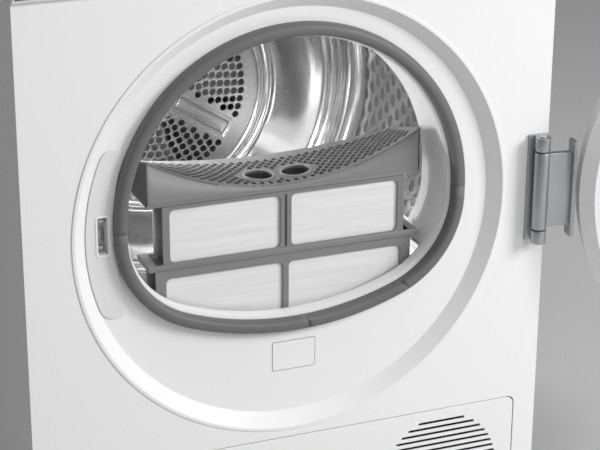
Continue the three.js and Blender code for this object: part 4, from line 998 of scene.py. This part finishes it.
def makeDoor():
    d = door
    r, p = d["radius"], d["proud"]
    ring = spinRound("door_ring_moulded", [
        (d["window"], -p + 0.002), (d["window"] + 0.003, -p - 0.001), (d["window"] + 0.008, -p - 0.002),
        (r - 0.030, -p - 0.0012), (r - 0.016, -p + 0.0003), (r - 0.008, -p + 0.0040),
        (r - 0.0045, -p + 0.0075), (r - 0.0028, -p + 0.015), (r, -0.0035), (r - 0.0008, -0.0028),
        (recess["floorRadius"] - 0.001, d["tip"]), (d["inner"], d["tip"]), (d["inner"], -0.008),
        (r - 0.012, -0.010), (r - 0.012, -p + 0.010), (d["window"], -p + 0.008)], 240)
    fit(swingOpen(ring), "door", whiteAbs, "white_plastic", "door_ring")
    w = d["window"] - 0.0004
    pane = spinRound("door_window_pane", [
        (0.0, -p - 0.004), (0.060, -p - 0.0034), (0.110, -p - 0.0015), (w - 0.010, -p + 0.001),
        (w, -p + 0.003), (w, -p + 0.007), (w - 0.012, -p + 0.005), (0.110, -p + 0.0025),
        (0.060, -p + 0.0006), (0.0, -p)], 180, closed=False)
    fit(swingOpen(pane), "door", glass, "door_glass", "door_window")
    rounds = [circle(d["inner"] - 0.0008, 200), openingOutline(d["plug"] + 0.001)]
    flange = cutPlate("door_liner_flange", rounds, -0.006, d["face"], 0.0005)
    outer, inner = d["plug"], d["plug"] + d["wall"]
    tip = d["plugTip"]
    nose = sweepRound("door_liner_nose", openingOutline(), [
        (outer, d["face"] - 0.001), (outer, tip - 0.006), (outer + 0.001, tip - 0.002),
        (outer + 0.004, tip), (outer + 0.012, tip), (outer + 0.012, tip - d["wall"]),
        (inner + 0.002, tip - d["wall"]), (inner, tip - 0.006), (inner, d["face"] - 0.001)])
    face = cutPlate("door_liner_face", [openingOutline(d["plug"] + 0.011)], tip - d["wall"] - 0.001,
                    tip - 0.001, 0.0006)
    for part in (flange, nose, face):
        swingOpen(part)
    fit(joined("door_liner_moulded", flange, nose, face), "door", linerPlastic, "liner_plastic", "door_liner")


makeDoor()
print("door made")


# ---- floor, light and camera ---------------------------------------------------------------

stage = {"floor": "#dcdcdc", "size": 9.0, "world": 0.24}


def makeStage():
    bpy.ops.object.select_all(action="DESELECT")
    bpy.ops.mesh.primitive_plane_add(size=stage["size"], location=(0, 0, cadBounds[0][2]))
    floor = bpy.context.object
    floor.name = "studio_floor"
    floor.data.materials.append(moulded("studioPaper", stage["floor"], 0.8, 3.0, 0.02, 0.01))
    world = bpy.data.worlds.new("softStudio")
    bpy.context.scene.world = world
    world.use_nodes = True
    back = world.node_tree.nodes["Background"]
    back.inputs["Color"].default_value = toLinear("#fbfbfb")
    back.inputs["Strength"].default_value = stage["world"]


softboxes = {                                    # name: (place, aimed at, size, power)
    "key_softbox": ((2.0, -1.9, 1.7), (0.0, -0.2, 0.45), (0.9, 1.0), 55.0),
    "front_softbox": ((0.5, -2.5, 2.1), (0.0, 0.1, 0.45), (0.9, 0.9), 16.0),
    "top_softbox": ((0.2, -0.6, 2.8), (0.0, 0.0, 0.5), (1.8, 1.8), 7.0),
    "drum_lamp": ((ringX + 0.02, depth(0.125), ringZ + 0.185), (ringX - 0.03, depth(0.49), ringZ + 0.10),
                  (0.26, 0.025), 1.6),
    "drum_lamp_side": ((ringX - 0.175, depth(0.125), ringZ + 0.06),
                       (ringX + 0.24, depth(0.40), ringZ - 0.02), (0.02, 0.2), 1.7),
}


def makeLights():
    for name, (place, target, (wide, tall), power) in softboxes.items():
        bpy.ops.object.light_add(type="AREA", location=place)
        lamp = bpy.context.object
        lamp.name = name
        lamp.data.shape = "RECTANGLE"
        lamp.data.size = wide
        lamp.data.size_y = tall
        lamp.data.energy = power
        lamp.rotation_euler = (Vector(target) - Vector(place)).to_track_quat("-Z", "Y").to_euler()


view = {"back": 1.797, "left": -0.723, "up": 0.757, "yaw": 22.0, "pitch": 21.5, "roll": 0.3, "lens": 117.2}


def makeCamera():
    v = view
    place = Vector((ringX + v["left"], panelFace - v["back"], ringZ + v["up"]))
    yaw, pitch, roll = radians(v["yaw"]), radians(v["pitch"]), radians(v["roll"])
    right = Vector((cos(yaw), -sin(yaw), 0))
    ahead = Vector((sin(yaw) * cos(pitch), cos(yaw) * cos(pitch), -sin(pitch)))
    up = right.cross(ahead)
    right, up = right * cos(roll) + up * sin(roll), up * cos(roll) - right * sin(roll)
    turn = Matrix((right, up, -ahead)).transposed().to_4x4()
    bpy.ops.object.camera_add()
    camera = bpy.context.object
    camera.name = "camera"
    camera.matrix_world = Matrix.Translation(place) @ turn
    camera.data.lens = v["lens"]
    camera.data.sensor_width = 36.0
    bpy.context.scene.camera = camera


makeStage()
makeLights()
makeCamera()
bpy.context.scene.view_settings.view_transform = "Standard"
print("stage made")
